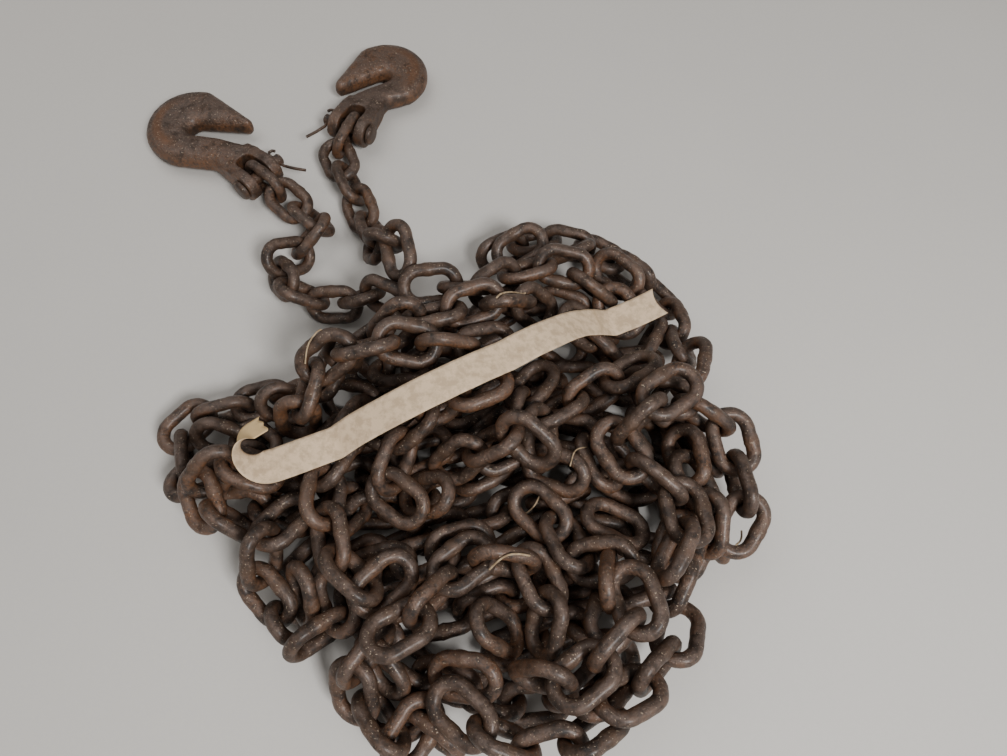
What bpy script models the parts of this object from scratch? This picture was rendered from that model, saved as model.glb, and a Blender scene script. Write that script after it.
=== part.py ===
"""A heap of one 30 ft (9.1 m) length of 10 mm steel chain, with a clevis grab hook at each end.

The chain is laid out as runs. Each run follows a route drawn on the floor, and every link of it is
lifted until it rests on the links, the core or the floor below it. The hidden runs stand on the floor
in a low mound, and the others lie over and around them. The two ends run out over the floor to their
hooks. Lengths are in metres, routes are in millimetres, and the floor is z = 0.
"""

import math

import bmesh
import bpy
import numpy as np
from mathutils import Matrix, Vector

MM = 0.001

# Chain link
ROD = 0.010
LINK_INNER_LENGTH = 0.031
LINK_INNER_WIDTH = 0.015
TOUCH = 0.0005
LEAST_SQUARE = 0.42

# How finely links are modelled, in the heap, where they lie free and inside the heap: sides and corner
# radius of the rod, and steps round each crown
HEAP_ROD = (5, 0.0054, 3)
FREE_ROD = (6, 0.0050, 6)
HIDDEN_ROD = (5, 0.0054, 2)

# The links of a run in the heap are joined at their crowns by small blocks
JOIN_WIDTH = 0.0026
JOIN_DEPTH = 0.0025

# How runs lie
PILE_GAP = 0.0
STEEPEST = math.radians(48)
LAY_ROUNDS = 26
LAY_SHARE = 0.75
LAY_ERROR = 0.00003
SETTLE_DROPS = (0.004, 0.002, 0.001, 0.0005, 0.0003)
TWIST = math.radians(13)
TWIST_STEP = 0.8

# Core, the low mound in the middle of the heap that the hidden links stand in
CORE_HEIGHT = 0.024
CORE_GAP = 0.0005
CORE_RINGS = ((1.0, 0.0), (0.93, 0.42), (0.82, 0.72), (0.64, 0.9), (0.36, 0.98))
CORE_STEPS = 30

# Clevis grab hooks
HOOK_BEVEL = 0.003
NECK_WIDTH = 0.034
NECK_TAPER = 0.018
NECK_SWELL = 0.003
MOUTH_SHOULDER = 0.014
THROAT_WIDTH = 0.016
THROAT_DEPTH = 0.022
EAR_THICKNESS = 0.011
EAR_RADIUS = 0.014
PIN_SLACK = 0.0003
LINK_ON_PIN = 0.0005
PIN_RAISED = 0.0005
PIN_HEIGHT = LINK_INNER_WIDTH / 2 + ROD + PIN_RAISED
PIN_HEAD_RADIUS = 0.0095
PIN_HEAD_THICKNESS = 0.005
PIN_TAIL = 0.009
PIN_SIDES = 16
COTTER_WIRE = 0.0028
COTTER_LEG = 0.024
COTTER_EYE_RADIUS = 0.0035
COTTER_SPREAD = math.radians(22)
COTTER_SLACK = 0.0003

# Masking tape
TAPE_WIDTH = 0.024
TAPE_THICKNESS = 0.0005
TAPE_GAP = 0.0004
TAPE_BEND = 4.5
TAPE_STEP = 0.008
TAPE_CURL_RADIUS = 0.0155
TAPE_CURL_TURN = math.radians(165)
TAPE_CURL_RISE = 0.016

STEEL = ("rusty_steel", (0.085, 0.050, 0.034), 0.62, 0.75)
HOOK_STEEL = ("rusty_hook_steel", (0.120, 0.066, 0.040), 0.60, 0.70)
PIN_STEEL = ("pin_steel", (0.075, 0.052, 0.042), 0.50, 0.80)
PAPER = ("masking_tape", (0.78, 0.66, 0.44), 0.85, 0.0)
CORE_STEEL = ("shadowed_steel", (0.045, 0.028, 0.020), 0.75, 0.5)

# The hooks: where each pin is, which way the hook points from it, and its own sizes
HOOKS = {
    "left": {
        "pin": (-176, 407), "heading": 139.5, "mouth_side": -1, "reach": 0.094, "bowl": 0.044,
        "thickness": 0.022, "slot": 0.0150, "slot_turn": 31, "tip": (0.054, 0.036), "tip_radius": 0.0050,
        "pin_diameter": 0.0110,
    },
    "right": {
        "pin": (-94, 465), "heading": 66.0, "mouth_side": 1, "reach": 0.078, "bowl": 0.041,
        "thickness": 0.021, "slot": 0.0135, "slot_turn": 37, "tip": (0.044, 0.034), "tip_radius": 0.0060,
        "pin_diameter": 0.0100,
    },
}

# The ends that run out to the hooks, and the rolls of their first links in degrees
LEFT_END = [(-176, 407), (-155, 389), (-132, 368), (-112, 350), (-124, 334), (-146, 324), (-152, 300),
            (-130, 284), (-100, 277), (-70, 268), (-42, 256), (-18, 238), (2, 218)]
RIGHT_END = [(-94, 465), (-104, 441), (-94, 404), (-80, 372), (-69, 342), (-58, 314), (-44, 291),
             (-34, 269), (-24, 240)]
LEFT_END_ROLLS = (86, 16, -50, 46, -44, 48, -38, 54)
RIGHT_END_ROLLS = (78, 10, -56, 36, -50)
FREE_LINKS = {"left": 8, "right": 5}
END_LINKS_IN_HEAP = 3

# The runs, from the floor up: name, roll of the first link in degrees, and the route
FLOOR_RUNS = [
    ("run_top_edge", 25, [(166, 172), (186, 200), (190, 232), (184, 265), (165, 293), (138, 318), (108, 336),
                          (76, 336), (44, 324), (14, 308)]),
    ("run_right_lobe", -5, [(150, 174), (178, 168), (200, 148), (209, 120), (206, 90), (190, 62), (168, 48)]),
    ("run_left_upper", 80, [(-112, 198), (-146, 184), (-178, 176), (-206, 164), (-216, 142), (-196, 123),
                            (-166, 128), (-138, 140)]),
    ("run_left_lower", -70, [(-115, 116), (-142, 124), (-168, 118), (-176, 94), (-154, 80), (-124, 78),
                             (-95, 68)]),
    ("run_lower_left", 20, [(-109, 90), (-128, 64), (-122, 38), (-104, 16), (-82, 0), (-62, -8)]),
    ("run_lower_tip", -75, [(-48, 6), (-64, -16), (-56, -42), (-29, -52), (-14, -32), (2, -5)]),
    ("run_bottom", 15, [(2, -29), (22, -46), (52, -54), (84, -48), (106, -32), (112, -4)]),
    ("run_right_lower", -35, [(104, -26), (130, -14), (150, 8), (160, 36), (154, 66)]),
]
TOP_RUNS = [
    ("run_north_rim", 40, [(-22, 258), (10, 264), (40, 279), (70, 291), (102, 289), (130, 270),
                            (150, 244), (156, 214)]),
    ("run_north_inner", 40, [(-84, 214), (-56, 226), (-24, 232), (8, 234), (40, 247), (72, 250),
                              (102, 236), (124, 212)]),
    ("run_west_inner", 25, [(-112, 158), (-98, 186), (-70, 199), (-40, 197), (-8, 200), (24, 208),
                             (54, 213), (82, 200)]),
    ("run_tape_east", 40, [(140, 196), (112, 178), (84, 166), (60, 150), (66, 124), (92, 112), (112, 92)]),
    ("run_east_inner", -5, [(160, 172), (136, 156), (118, 134), (132, 112), (156, 98), (160, 70), (142, 50),
                            (118, 40)]),
    ("run_centre", 25, [(28, 172), (-2, 160), (-32, 148), (-46, 122), (-34, 96), (-6, 84)]),
    ("run_heart", 40, [(2, 124), (30, 138), (58, 130), (72, 106), (58, 82)]),
    ("run_middle_west", -55, [(-64, 160), (-78, 134), (-90, 108), (-84, 78), (-72, 50), (-46, 36), (-28, 56),
                             (-12, 78)]),
    ("run_south_inner", -25, [(-38, 10), (-14, 24), (2, 48), (26, 66), (50, 56), (66, 34), (62, 6), (36, -6)]),
    ("run_south_east", 60, [(54, -14), (82, -10), (106, 6), (120, 32), (106, 58), (82, 72), (62, 92)]),
]
CORE_OUTLINE = [(158, 215), (132, 262), (90, 296), (40, 286), (-20, 258), (-78, 212), (-106, 160), (-98, 100),
                (-88, 40), (-50, 4), (10, -30), (88, -32), (140, 8), (184, 70), (186, 150)]

# The hidden runs, which stand in the core: roll of the first link and the route
HIDDEN_RUNS = [
    (30, [(128, 250), (96, 274), (52, 268), (12, 250), (-26, 232), (-58, 208)]),
    (34, [(-86, 188), (-54, 184), (-20, 198), (14, 216), (50, 230), (86, 236), (124, 220)]),
    (29, [(138, 196), (104, 204), (68, 200), (34, 184), (0, 170), (-36, 160), (-70, 158), (-94, 142)]),
    (42, [(-84, 118), (-52, 130), (-18, 140), (16, 152), (50, 168), (86, 174), (120, 168), (150, 160)]),
    (54, [(152, 130), (118, 138), (84, 142), (50, 134), (16, 118), (-20, 106), (-54, 98), (-78, 86)]),
    (28, [(-70, 58), (-42, 72), (-8, 82), (26, 92), (60, 104), (96, 112), (130, 106), (156, 98)]),
    (48, [(146, 70), (112, 80), (78, 78), (44, 64), (10, 50), (-26, 42), (-58, 34)]),
    (42, [(-40, 14), (-8, 22), (26, 32), (60, 46), (96, 52), (128, 44)]),
    (32, [(112, 22), (80, 18), (48, 4), (20, -2)]),
    (40, [(168, 196), (180, 164), (178, 130), (184, 98), (172, 66), (154, 38)]),
    (30, [(-56, 22), (-34, -4), (-2, -16), (32, -28), (66, -30), (98, -18), (130, 6)]),
]

# The tape: its middle line from the right end to where it curls back on the left
TAPE_ROUTE = [(166, 250), (138, 236), (104, 228), (70, 210), (32, 188), (0, 172), (-30, 160), (-62, 148),
              (-95, 132), (-126, 121)]


def link_length():
    """Length of a link's rod centreline, from the middle of one crown to the other."""
    return LINK_INNER_LENGTH + ROD


def crown_radius():
    return (LINK_INNER_WIDTH + ROD) / 2


def link_outline(crown_steps):
    """Rod centreline of a link as points (along, across).

    The corners of its crowns lie as far outside the round crown as the chords between them lie inside it.
    """
    leg = leg_length() / 2
    radius = crown_radius() * 2 / (1 + math.cos(math.pi / crown_steps / 2))
    turns = [math.radians(-90 + 180 * i / crown_steps) for i in range(crown_steps + 1)]
    crown = [(leg + radius * math.cos(t), radius * math.sin(t)) for t in turns]
    return np.array(crown + [(-a, -b) for a, b in crown])


def dense_outline(crown_steps, spacing=0.004):
    """Points along the link's outline, no further apart than the spacing."""
    corners = link_outline(crown_steps)
    points = []
    for here, there in zip(corners, np.roll(corners, -1, axis=0)):
        pieces = math.ceil(np.linalg.norm(there - here) / spacing)
        points += [here + (there - here) * i / pieces for i in range(pieces)]
    return np.array(points)


def leg_length():
    """Length of a link's straight legs, which is also the distance between its crowns' centres."""
    return link_length() - 2 * crown_radius()


def link_axes(along, roll):
    """Unit vectors across a link in its own plane, and square to that plane."""
    level = np.array([-along[1], along[0], 0.0])
    level /= math.hypot(level[0], level[1])
    up = np.cross(along, level)
    across = math.cos(roll) * level + math.sin(roll) * up
    return across, np.cross(along, across)


def crown_spread(before, after):
    """Distance between the centres of two crowns that hang in one another, from the links' normals."""
    room = ROD + TOUCH
    square = max(1 - abs(before @ after), LEAST_SQUARE)
    twisted = (2 - square) * (2 * crown_radius() ** 2 - room ** 2 / square)
    return min(2 * crown_radius() - room, math.sqrt(max(twisted, 0.0)))


def smooth_route(points, step=0.002):
    """Evenly spaced points along a curve through the route's points."""
    route = np.array(points, float) * MM
    ends = np.vstack([2 * route[0] - route[1], route, 2 * route[-1] - route[-2]])
    curve = []
    for before, here, there, after in zip(ends, ends[1:], ends[2:], ends[3:]):
        for t in np.linspace(0, 1, 24, endpoint=False):
            curve.append(0.5 * (2 * here + (there - before) * t
                                + (2 * before - 5 * here + 4 * there - after) * t ** 2
                                + (3 * here - before - 3 * there + after) * t ** 3))
    curve = np.array(curve + [route[-1]])
    travelled = np.concatenate([[0], np.cumsum(np.linalg.norm(np.diff(curve, axis=0), axis=1))])
    even = np.arange(0, travelled[-1], step)
    return np.column_stack([np.interp(even, travelled, curve[:, i]) for i in (0, 1)])


def follow(curve, heights, rolls, start_offset):
    """Hangs link after link along the curve, each link's far joint at its given height.

    Gives an array for each link: its middle, along, across and normal.
    """
    leg = leg_length()
    most = 2 * crown_radius() - ROD - TOUCH
    to_joint = leg + most / 2
    centre = np.array([*curve[0], heights[0]])
    normal = None
    at = 0
    links = []
    along = np.array([*(curve[1] - curve[0]), 0.0])
    along /= np.linalg.norm(along)
    for k, roll in enumerate(rolls):
        for _ in range(4):
            across, new_normal = link_axes(along, roll)
            if normal is None:
                start = centre + start_offset * along
            else:
                hang = np.cross(normal, new_normal)
                hang *= math.copysign(1 / max(np.linalg.norm(hang), 1e-6), hang @ along)
                start = centre + crown_spread(normal, new_normal) * hang
            rise = heights[k + 1] - start[2]
            flat = math.sqrt(max(to_joint ** 2 - rise ** 2, (0.3 * to_joint) ** 2))
            away = np.linalg.norm(curve[at:] - start[:2], axis=1)
            beyond = np.nonzero(away >= flat)[0]
            if len(beyond) == 0:
                toward = curve[-1] - curve[-2]
                new_at = at
            else:
                new_at = at + beyond[0]
                toward = curve[new_at] - start[:2]
            toward = flat * toward / np.linalg.norm(toward)
            along = np.array([*toward, rise])
            along /= np.linalg.norm(along)
        across, normal = link_axes(along, roll)
        at = new_at
        centre = start + leg * along
        links.append((start + leg / 2 * along, along, across, normal))
    return np.array(links)


def rod_points(links, outline):
    """Points on the rod centrelines of all the links of a run, link by link."""
    middle, along, across = links[:, 0], links[:, 1], links[:, 2]
    return (middle[:, None, :] + outline[None, :, :1] * along[:, None, :]
            + outline[None, :, 1:] * across[:, None, :])


def lift_needed(points, corner, laid, reach):
    """How far each point must rise to stand clear of the points laid before it, and of the floor."""
    need = corner - points[:, 2]
    if len(laid) == 0:
        return need
    flat = (points[:, None, 0] - laid[None, :, 0]) ** 2 + (points[:, None, 1] - laid[None, :, 1]) ** 2
    room = reach[None, :] ** 2 - flat
    over = np.where(room > 0, laid[None, :, 2] + np.sqrt(np.maximum(room, 0)), -1.0)
    return np.maximum(need, over.max(axis=1) - points[:, 2])


def near(laid, curve):
    """Only what lies within reach of the curve's own box."""
    margin = LINK_INNER_WIDTH + 2 * ROD
    low, high = curve.min(axis=0) - margin, curve.max(axis=0) + margin
    return laid[((laid[:, :2] > low) & (laid[:, :2] < high)).all(axis=1)]


def own_lift(points, corner):
    """How far each link must rise to lie on the links of its own run before the last one."""
    need = np.zeros(len(points))
    for k in range(2, len(points)):
        before = points[: k - 1].reshape(-1, 3)
        reach = np.full(len(before), 2 * corner)
        need[k] = lift_needed(points[k], -1.0, before, reach).max()
    return need


def limit_slopes(heights, pitch):
    """Raises joints beside a high one, so that no link is steeper than STEEPEST."""
    most = pitch * math.sin(STEEPEST)
    for k in range(1, len(heights)):
        heights[k] = max(heights[k], heights[k - 1] - most)
    for k in range(len(heights) - 2, -1, -1):
        heights[k] = max(heights[k], heights[k + 1] - most)
    return heights


def run_rolls(count, first_rolls):
    """Rolls of a run's links: the given ones first, then about a quarter turn more from each to the next."""
    known = len(first_rolls)
    after = np.arange(count - known + 1)
    more = math.pi / 2 * after + TWIST * np.sin(TWIST_STEP * after)
    return np.concatenate([np.radians(first_rolls[:-1]), math.radians(first_rolls[-1]) + more])[:count]


def lay_run(route, first_rolls, rod, laid, start_offset=0.0, count=None):
    """The links of one run, lifted until they clear all that was laid before them.

    As many links as the route holds, or as many as counted.
    """
    _, corner, crown_steps = rod
    curve = smooth_route(route)
    laid = near(laid, curve)
    reach = laid[:, 3] + corner
    pitch = link_length() - ROD - TOUCH
    count = count or int(2 * MM * len(curve) / pitch)
    rolls = run_rolls(count, first_rolls)
    outline = dense_outline(crown_steps)
    heights = np.full(count + 1, ROD)
    if start_offset:
        heights[0] = PIN_HEIGHT

    def lifts(at_heights):
        points = rod_points(follow(curve, at_heights, rolls, start_offset), outline)
        need = lift_needed(points.reshape(-1, 3), corner, laid, reach).reshape(count, -1).max(axis=1)
        return np.maximum(need, own_lift(points, corner))

    for _ in range(LAY_ROUNDS):
        need = lifts(heights)
        if need.max() < LAY_ERROR:
            break
        lift = np.zeros(count + 1)
        lift[:-1] = np.maximum(lift[:-1], need)
        lift[1:] = np.maximum(lift[1:], need)
        if start_offset:
            lift[0] = 0.0
        heights = limit_slopes(heights + LAY_SHARE * lift, pitch)
    for drop in SETTLE_DROPS:
        for k in range(1 if start_offset else 0, count + 1):
            lowered = heights.copy()
            lowered[k] -= drop
            if lifts(lowered).max() < LAY_ERROR:
                heights = lowered
    return follow(curve, heights, rolls, start_offset)


def closed_curve(points, count):
    """Points spaced evenly by parameter along a closed curve through the outline's points."""
    outline = np.array(points, float) * MM
    total = len(outline)
    curve = []
    for step in range(count):
        place = step * total / count
        first = int(place)
        t = place - first
        before, here, there, after = (outline[(first + i) % total] for i in (-1, 0, 1, 2))
        curve.append(0.5 * (2 * here + (there - before) * t
                            + (2 * before - 5 * here + 4 * there - after) * t ** 2
                            + (3 * here - before - 3 * there + after) * t ** 3))
    return np.array(curve)


def core_rings():
    """Rings of points over the core's mound, from its foot to near its top, and the top point."""
    foot = closed_curve(CORE_OUTLINE, CORE_STEPS)
    middle = foot.mean(axis=0)
    rings = []
    for spread, rise in CORE_RINGS:
        ring = middle + (foot - middle) * spread
        rings.append(np.column_stack([ring, np.full(len(ring), CORE_HEIGHT * rise)]))
    return rings, np.array([*middle, CORE_HEIGHT])


def core_points():
    """Points all over the core's surface, about 5 mm apart."""
    rings, top = core_rings()
    rings = rings + [np.repeat(top[None, :], len(rings[0]), axis=0)]
    points = []
    for low, high in zip(rings, rings[1:]):
        rows = max(2, math.ceil(np.linalg.norm(high - low, axis=1).max() / 0.005))
        for u in np.arange(rows) / rows:
            ring = low + (high - low) * u
            after = np.roll(ring, -1, axis=0)
            columns = max(2, math.ceil(np.linalg.norm(after - ring, axis=1).max() / 0.005))
            for v in np.arange(columns) / columns:
                points.append(ring + (after - ring) * v)
    return np.vstack(points + [top[None, :]])


def pin_offset(side):
    """How far the end link's crown centre lies from the pin's axis."""
    return LINK_INNER_WIDTH / 2 - HOOKS[side]["pin_diameter"] / 2 - LINK_ON_PIN


def laid_points(links, rod):
    """Points on the rods of a run's links, each with the rod's radius as a fourth number."""
    points = rod_points(links, dense_outline(rod[2])).reshape(-1, 3)
    return np.column_stack([points, np.full(len(points), rod[1] + PILE_GAP)])


def lay_chain():
    """Lays every run from the floor up.

    Gives each run's links by name, the hidden runs' links, and all points laid with their radii.
    """
    left_count, right_count = (FREE_LINKS[side] + END_LINKS_IN_HEAP for side in ("left", "right"))
    order = [(name, (roll,), HEAP_ROD, route, 0.0, None) for name, roll, route in FLOOR_RUNS]
    order += [("left_end", LEFT_END_ROLLS, FREE_ROD, LEFT_END, pin_offset("left"), left_count),
              ("right_end", RIGHT_END_ROLLS, FREE_ROD, RIGHT_END, pin_offset("right"), right_count)]
    order += [(name, (roll,), HEAP_ROD, route, 0.0, None) for name, roll, route in TOP_RUNS]
    core = core_points()
    bare_floor = np.zeros((0, 4))
    hidden = [lay_run(route, (roll,), HIDDEN_ROD, bare_floor) for roll, route in HIDDEN_RUNS]
    laid = np.vstack([np.column_stack([core, np.full(len(core), CORE_GAP)])]
                     + [laid_points(links, HIDDEN_ROD) for links in hidden])
    runs = {}
    for name, rolls, rod, route, offset, count in order:
        runs[name] = lay_run(route, rolls, rod, laid, offset, count)
        laid = np.vstack([laid, laid_points(runs[name], rod)])
    return runs, hidden, laid


# Blender objects below


def clear_scene():
    for thing in list(bpy.data.objects):
        bpy.data.objects.remove(thing, do_unlink=True)


def make_material(name, color, roughness, metallic):
    material = bpy.data.materials.new(name)
    material.use_nodes = True
    shader = material.node_tree.nodes["Principled BSDF"]
    shader.inputs["Base Color"].default_value = (*color, 1.0)
    shader.inputs["Roughness"].default_value = roughness
    shader.inputs["Metallic"].default_value = metallic
    return material


def mesh_object(name, bm, material, parent, smooth_angle=50):
    """Turns a bmesh into a named object with its material, shaded smooth where it is round."""
    bmesh.ops.triangulate(bm, faces=bm.faces)
    bmesh.ops.recalc_face_normals(bm, faces=bm.faces)
    mesh = bpy.data.meshes.new(name)
    bm.to_mesh(mesh)
    bm.free()
    mesh.shade_smooth()
    mesh.set_sharp_from_angle(angle=math.radians(smooth_angle))
    thing = bpy.data.objects.new(name, mesh)
    bpy.context.scene.collection.objects.link(thing)
    if material is not None:
        mesh.materials.append(material)
    thing.parent = parent
    return thing


def as_helper(thing):
    thing.hide_render = True
    thing.display_type = "WIRE"
    return thing


def combine(thing, other, operation):
    """Adds a Boolean with a helper object."""
    modifier = thing.modifiers.new(f"{operation.lower()}_{other.name}", "BOOLEAN")
    modifier.operation = operation
    modifier.solver = "EXACT"
    modifier.object = as_helper(other)


def add_link(bm, middle, along, across, normal, sides, corner, crown_steps):
    """One link as a closed ring of rod. A rod with an even number of sides has a corner facing inside."""
    outline = link_outline(crown_steps)
    count = len(outline)
    rings = []
    for i in range(count):
        ahead = outline[(i + 1) % count] - outline[i - 1]
        out_along, out_across = ahead[1], -ahead[0]
        size = math.hypot(out_along, out_across)
        outward = (out_along * along + out_across * across) / size
        centre = middle + outline[i, 0] * along + outline[i, 1] * across
        ring = []
        for j in range(sides):
            turn = 2 * math.pi * j / sides
            ring.append(bm.verts.new(centre + corner * (math.cos(turn) * outward + math.sin(turn) * normal)))
        rings.append(ring)
    for here, there in zip(rings, rings[1:] + rings[:1]):
        for j in range(sides):
            k = (j + 1) % sides
            bm.faces.new((here[j], here[k], there[k], there[j]))


def add_join(bm, link, next_link):
    """A block that joins the crowns of two links where they hang in one another."""
    leg = leg_length() / 2
    end = link[0] + leg * link[1]
    start = next_link[0] - leg * next_link[1]
    spread = np.linalg.norm(start - end)
    hang = (start - end) / spread
    side = np.cross(hang, link[3])
    side /= np.linalg.norm(side)
    length = 2 * crown_radius() - spread - ROD + 2 * JOIN_DEPTH
    axes = np.column_stack([hang * length, side * JOIN_WIDTH, np.cross(hang, side) * JOIN_WIDTH])
    matrix = Matrix.Translation((start + end) / 2) @ Matrix(axes.tolist()).to_4x4()
    bmesh.ops.create_cube(bm, size=1.0, matrix=matrix)


def make_run(name, links, rod, material, parent):
    """The links of a run, joined where they hang in one another."""
    halves = []
    for half in (0, 1):
        bm = bmesh.new()
        for link in links[half::2]:
            add_link(bm, *link, *rod)
        halves.append(bm)
    joins = bmesh.new()
    for link, next_link in zip(links, links[1:]):
        add_join(joins, link, next_link)
    thing = mesh_object(name, halves[0], material, parent)
    combine(thing, mesh_object(f"{name}_every_second_link", halves[1], material, parent), "UNION")
    combine(thing, mesh_object(f"{name}_joins", joins, material, parent), "UNION")
    return thing


def make_free_links(side, links, material, parent):
    """The links that lie free between the heap and a hook, all with the same mesh."""
    bm = bmesh.new()
    add_link(bm, np.zeros(3), *np.eye(3), *FREE_ROD)
    pattern = mesh_object(f"{side}_link_01", bm, material, parent)
    for number, (middle, along, across, normal) in enumerate(links, 1):
        link = pattern
        if number > 1:
            link = bpy.data.objects.new(f"{side}_link_{number:02d}", pattern.data)
            bpy.context.scene.collection.objects.link(link)
            link.parent = parent
        turned = Matrix(np.column_stack([along, across, normal]).tolist()).to_4x4()
        link.matrix_local = Matrix.Translation(middle) @ turned


def make_core(hidden, material, parent):
    """The hidden middle of the heap: a low mound with the hidden links standing in it."""
    rings, top = core_rings()
    bm = bmesh.new()
    rows = [[bm.verts.new(point) for point in ring] for ring in rings]
    for low, high in zip(rows, rows[1:]):
        for i in range(CORE_STEPS):
            j = (i + 1) % CORE_STEPS
            bm.faces.new((low[i], low[j], high[j], high[i]))
    peak = bm.verts.new(top)
    for i in range(CORE_STEPS):
        bm.faces.new((rows[-1][i], rows[-1][(i + 1) % CORE_STEPS], peak))
    bm.faces.new(list(reversed(rows[0])))
    core = mesh_object("heap_core", bm, material, parent)
    for number, links in enumerate(hidden, 1):
        for half in (0, 1):
            bm = bmesh.new()
            for link in links[half::2]:
                add_link(bm, *link, *HIDDEN_ROD)
            combine(core, mesh_object(f"hidden_run_{number}_{half}", bm, material, parent), "UNION")
    return core


def arc(centre, radius, start, end, steps):
    """Points along an arc, angles in degrees."""
    turns = [math.radians(start + (end - start) * i / steps) for i in range(steps + 1)]
    return [(centre[0] + radius * math.cos(t), centre[1] + radius * math.sin(t)) for t in turns]


def extrude_outline(points, low, high, upright=True):
    """A prism of an outline in the xy plane, or in the xz plane if not upright."""
    bm = bmesh.new()
    ends = []
    for level in (low, high):
        if upright:
            ends.append([bm.verts.new((x, y, level)) for x, y in points])
        else:
            ends.append([bm.verts.new((x, level, y)) for x, y in points])
    count = len(points)
    for i in range(count):
        j = (i + 1) % count
        bm.faces.new((ends[0][i], ends[0][j], ends[1][j], ends[1][i]))
    bm.faces.new(list(reversed(ends[0])))
    bm.faces.new(ends[1])
    bm.normal_update()
    return bm


def clevis_half_width():
    return THROAT_WIDTH / 2 + EAR_THICKNESS


def hook_outline(hook):
    """The hook seen from above, the pin at the origin and the bowl along +x, mouth on +y."""
    reach, bowl = hook["reach"], hook["bowl"]
    turn = hook["slot_turn"]
    slot = hook["slot"] / 2
    neck = THROAT_DEPTH + 0.002
    half_neck = NECK_WIDTH / 2
    slot_end = (reach - 0.2 * bowl, 0.0)
    down_slot = (-math.cos(math.radians(turn)), math.sin(math.radians(turn)))
    off_slot = (-math.sin(math.radians(turn)), -math.cos(math.radians(turn)))
    landing = 0.6 * bowl
    points = [(neck, -half_neck), (neck + NECK_TAPER, -half_neck - NECK_SWELL)]
    points += arc((reach, 0.0), bowl, -118, 68, 18)
    points += arc(hook["tip"], hook["tip_radius"], 92, 268 - turn, 5)
    points += arc(slot_end, slot, 90 - turn, -90 - turn, 7)
    points += [(slot_end[0] + landing * down_slot[0] + 1.1 * slot * off_slot[0],
                slot_end[1] + landing * down_slot[1] + 1.1 * slot * off_slot[1])]
    points += [(neck + MOUTH_SHOULDER, half_neck - NECK_SWELL), (neck, half_neck)]
    return points


def flip(points, side):
    """The outline itself, or its mirror image across x with its points the other way round."""
    return points if side > 0 else [(x, -y) for x, y in reversed(points)]


def make_hook(side, material, parent):
    """The forged hook: bowl and shank, with the two ears of its clevis."""
    hook = HOOKS[side]
    name = f"hook_{side}"
    half = hook["thickness"] / 2
    width = clevis_half_width()
    bm = extrude_outline(flip(hook_outline(hook), hook["mouth_side"]), -half, half)
    rims = [e for e in bm.edges if abs(e.verts[0].co.z - e.verts[1].co.z) < 1e-6]
    bmesh.ops.bevel(bm, geom=rims, offset=HOOK_BEVEL, segments=1, affect="EDGES", clamp_overlap=True)
    body = mesh_object(name, bm, material, parent, smooth_angle=40)
    neck = THROAT_DEPTH + 0.012
    inner = half - 0.0015
    ears = arc((0.0, 0.0), EAR_RADIUS, 70, 290, 12) + [(neck, -inner), (neck, inner)]
    ear_bm = extrude_outline(ears, -width, width, upright=False)
    combine(body, mesh_object(f"{name}_ears", ear_bm, material, parent), "UNION")
    throat_half = THROAT_WIDTH / 2
    round_end = arc((THROAT_DEPTH - throat_half, 0.0), throat_half, -90, 90, 8)
    throat = [(-2 * EAR_RADIUS, -throat_half)] + round_end + [(-2 * EAR_RADIUS, throat_half)]
    throat_bm = extrude_outline(throat, -2 * EAR_RADIUS, 2 * EAR_RADIUS)
    combine(body, mesh_object(f"{name}_throat", throat_bm, material, parent), "DIFFERENCE")
    bore = (hook["pin_diameter"] / 2 + PIN_SLACK) / math.cos(math.pi / PIN_SIDES)
    bore_bm = extrude_outline(arc((0, 0), bore, 0, 360 - 360 / PIN_SIDES, PIN_SIDES - 1),
                              -2 * width, 2 * width, upright=False)
    combine(body, mesh_object(f"{name}_bore", bore_bm, material, parent), "DIFFERENCE")
    return body


def cotter_place(hook):
    """Where the cotter crosses the pin, along the pin from the middle of the clevis."""
    return hook["mouth_side"] * (clevis_half_width() + PIN_TAIL / 2)


def make_pin(side, material, parent):
    """The headed clevis pin, with a cross hole in its tail for the cotter."""
    hook = HOOKS[side]
    name = f"clevis_pin_{side}"
    radius = hook["pin_diameter"] / 2
    out = hook["mouth_side"]
    tail = out * (clevis_half_width() + PIN_TAIL)
    head = -out * (clevis_half_width() + PIN_SLACK)
    rim = -out * (clevis_half_width() + PIN_SLACK + PIN_HEAD_THICKNESS)
    circle = arc((0, 0), 1.0, 0, 360 - 360 / PIN_SIDES, PIN_SIDES - 1)
    bm = bmesh.new()
    rows = []
    for place, size in ((tail, radius), (head, radius), (head, PIN_HEAD_RADIUS), (rim, PIN_HEAD_RADIUS * 0.9)):
        rows.append([bm.verts.new((size * x, place, size * z)) for x, z in circle])
    for low, high in zip(rows, rows[1:]):
        for i in range(PIN_SIDES):
            j = (i + 1) % PIN_SIDES
            bm.faces.new((low[i], low[j], high[j], high[i]))
    bm.faces.new(rows[0])
    bm.faces.new(rows[-1])
    pin = mesh_object(name, bm, material, parent)
    hole = (COTTER_WIRE / 2 + COTTER_SLACK) / math.cos(math.pi / 8)
    place = cotter_place(hook)
    ring = [(place + y, z) for y, z in arc((0, 0), hole, 0, 315, 7)]
    hole_bm = bmesh.new()
    ends = [[hole_bm.verts.new((x, y, z)) for y, z in ring] for x in (-2 * radius, 2 * radius)]
    for i in range(8):
        j = (i + 1) % 8
        hole_bm.faces.new((ends[0][i], ends[0][j], ends[1][j], ends[1][i]))
    hole_bm.faces.new(list(reversed(ends[0])))
    hole_bm.faces.new(ends[1])
    combine(pin, mesh_object(f"{name}_cross_hole", hole_bm, material, parent), "DIFFERENCE")
    return pin


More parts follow.
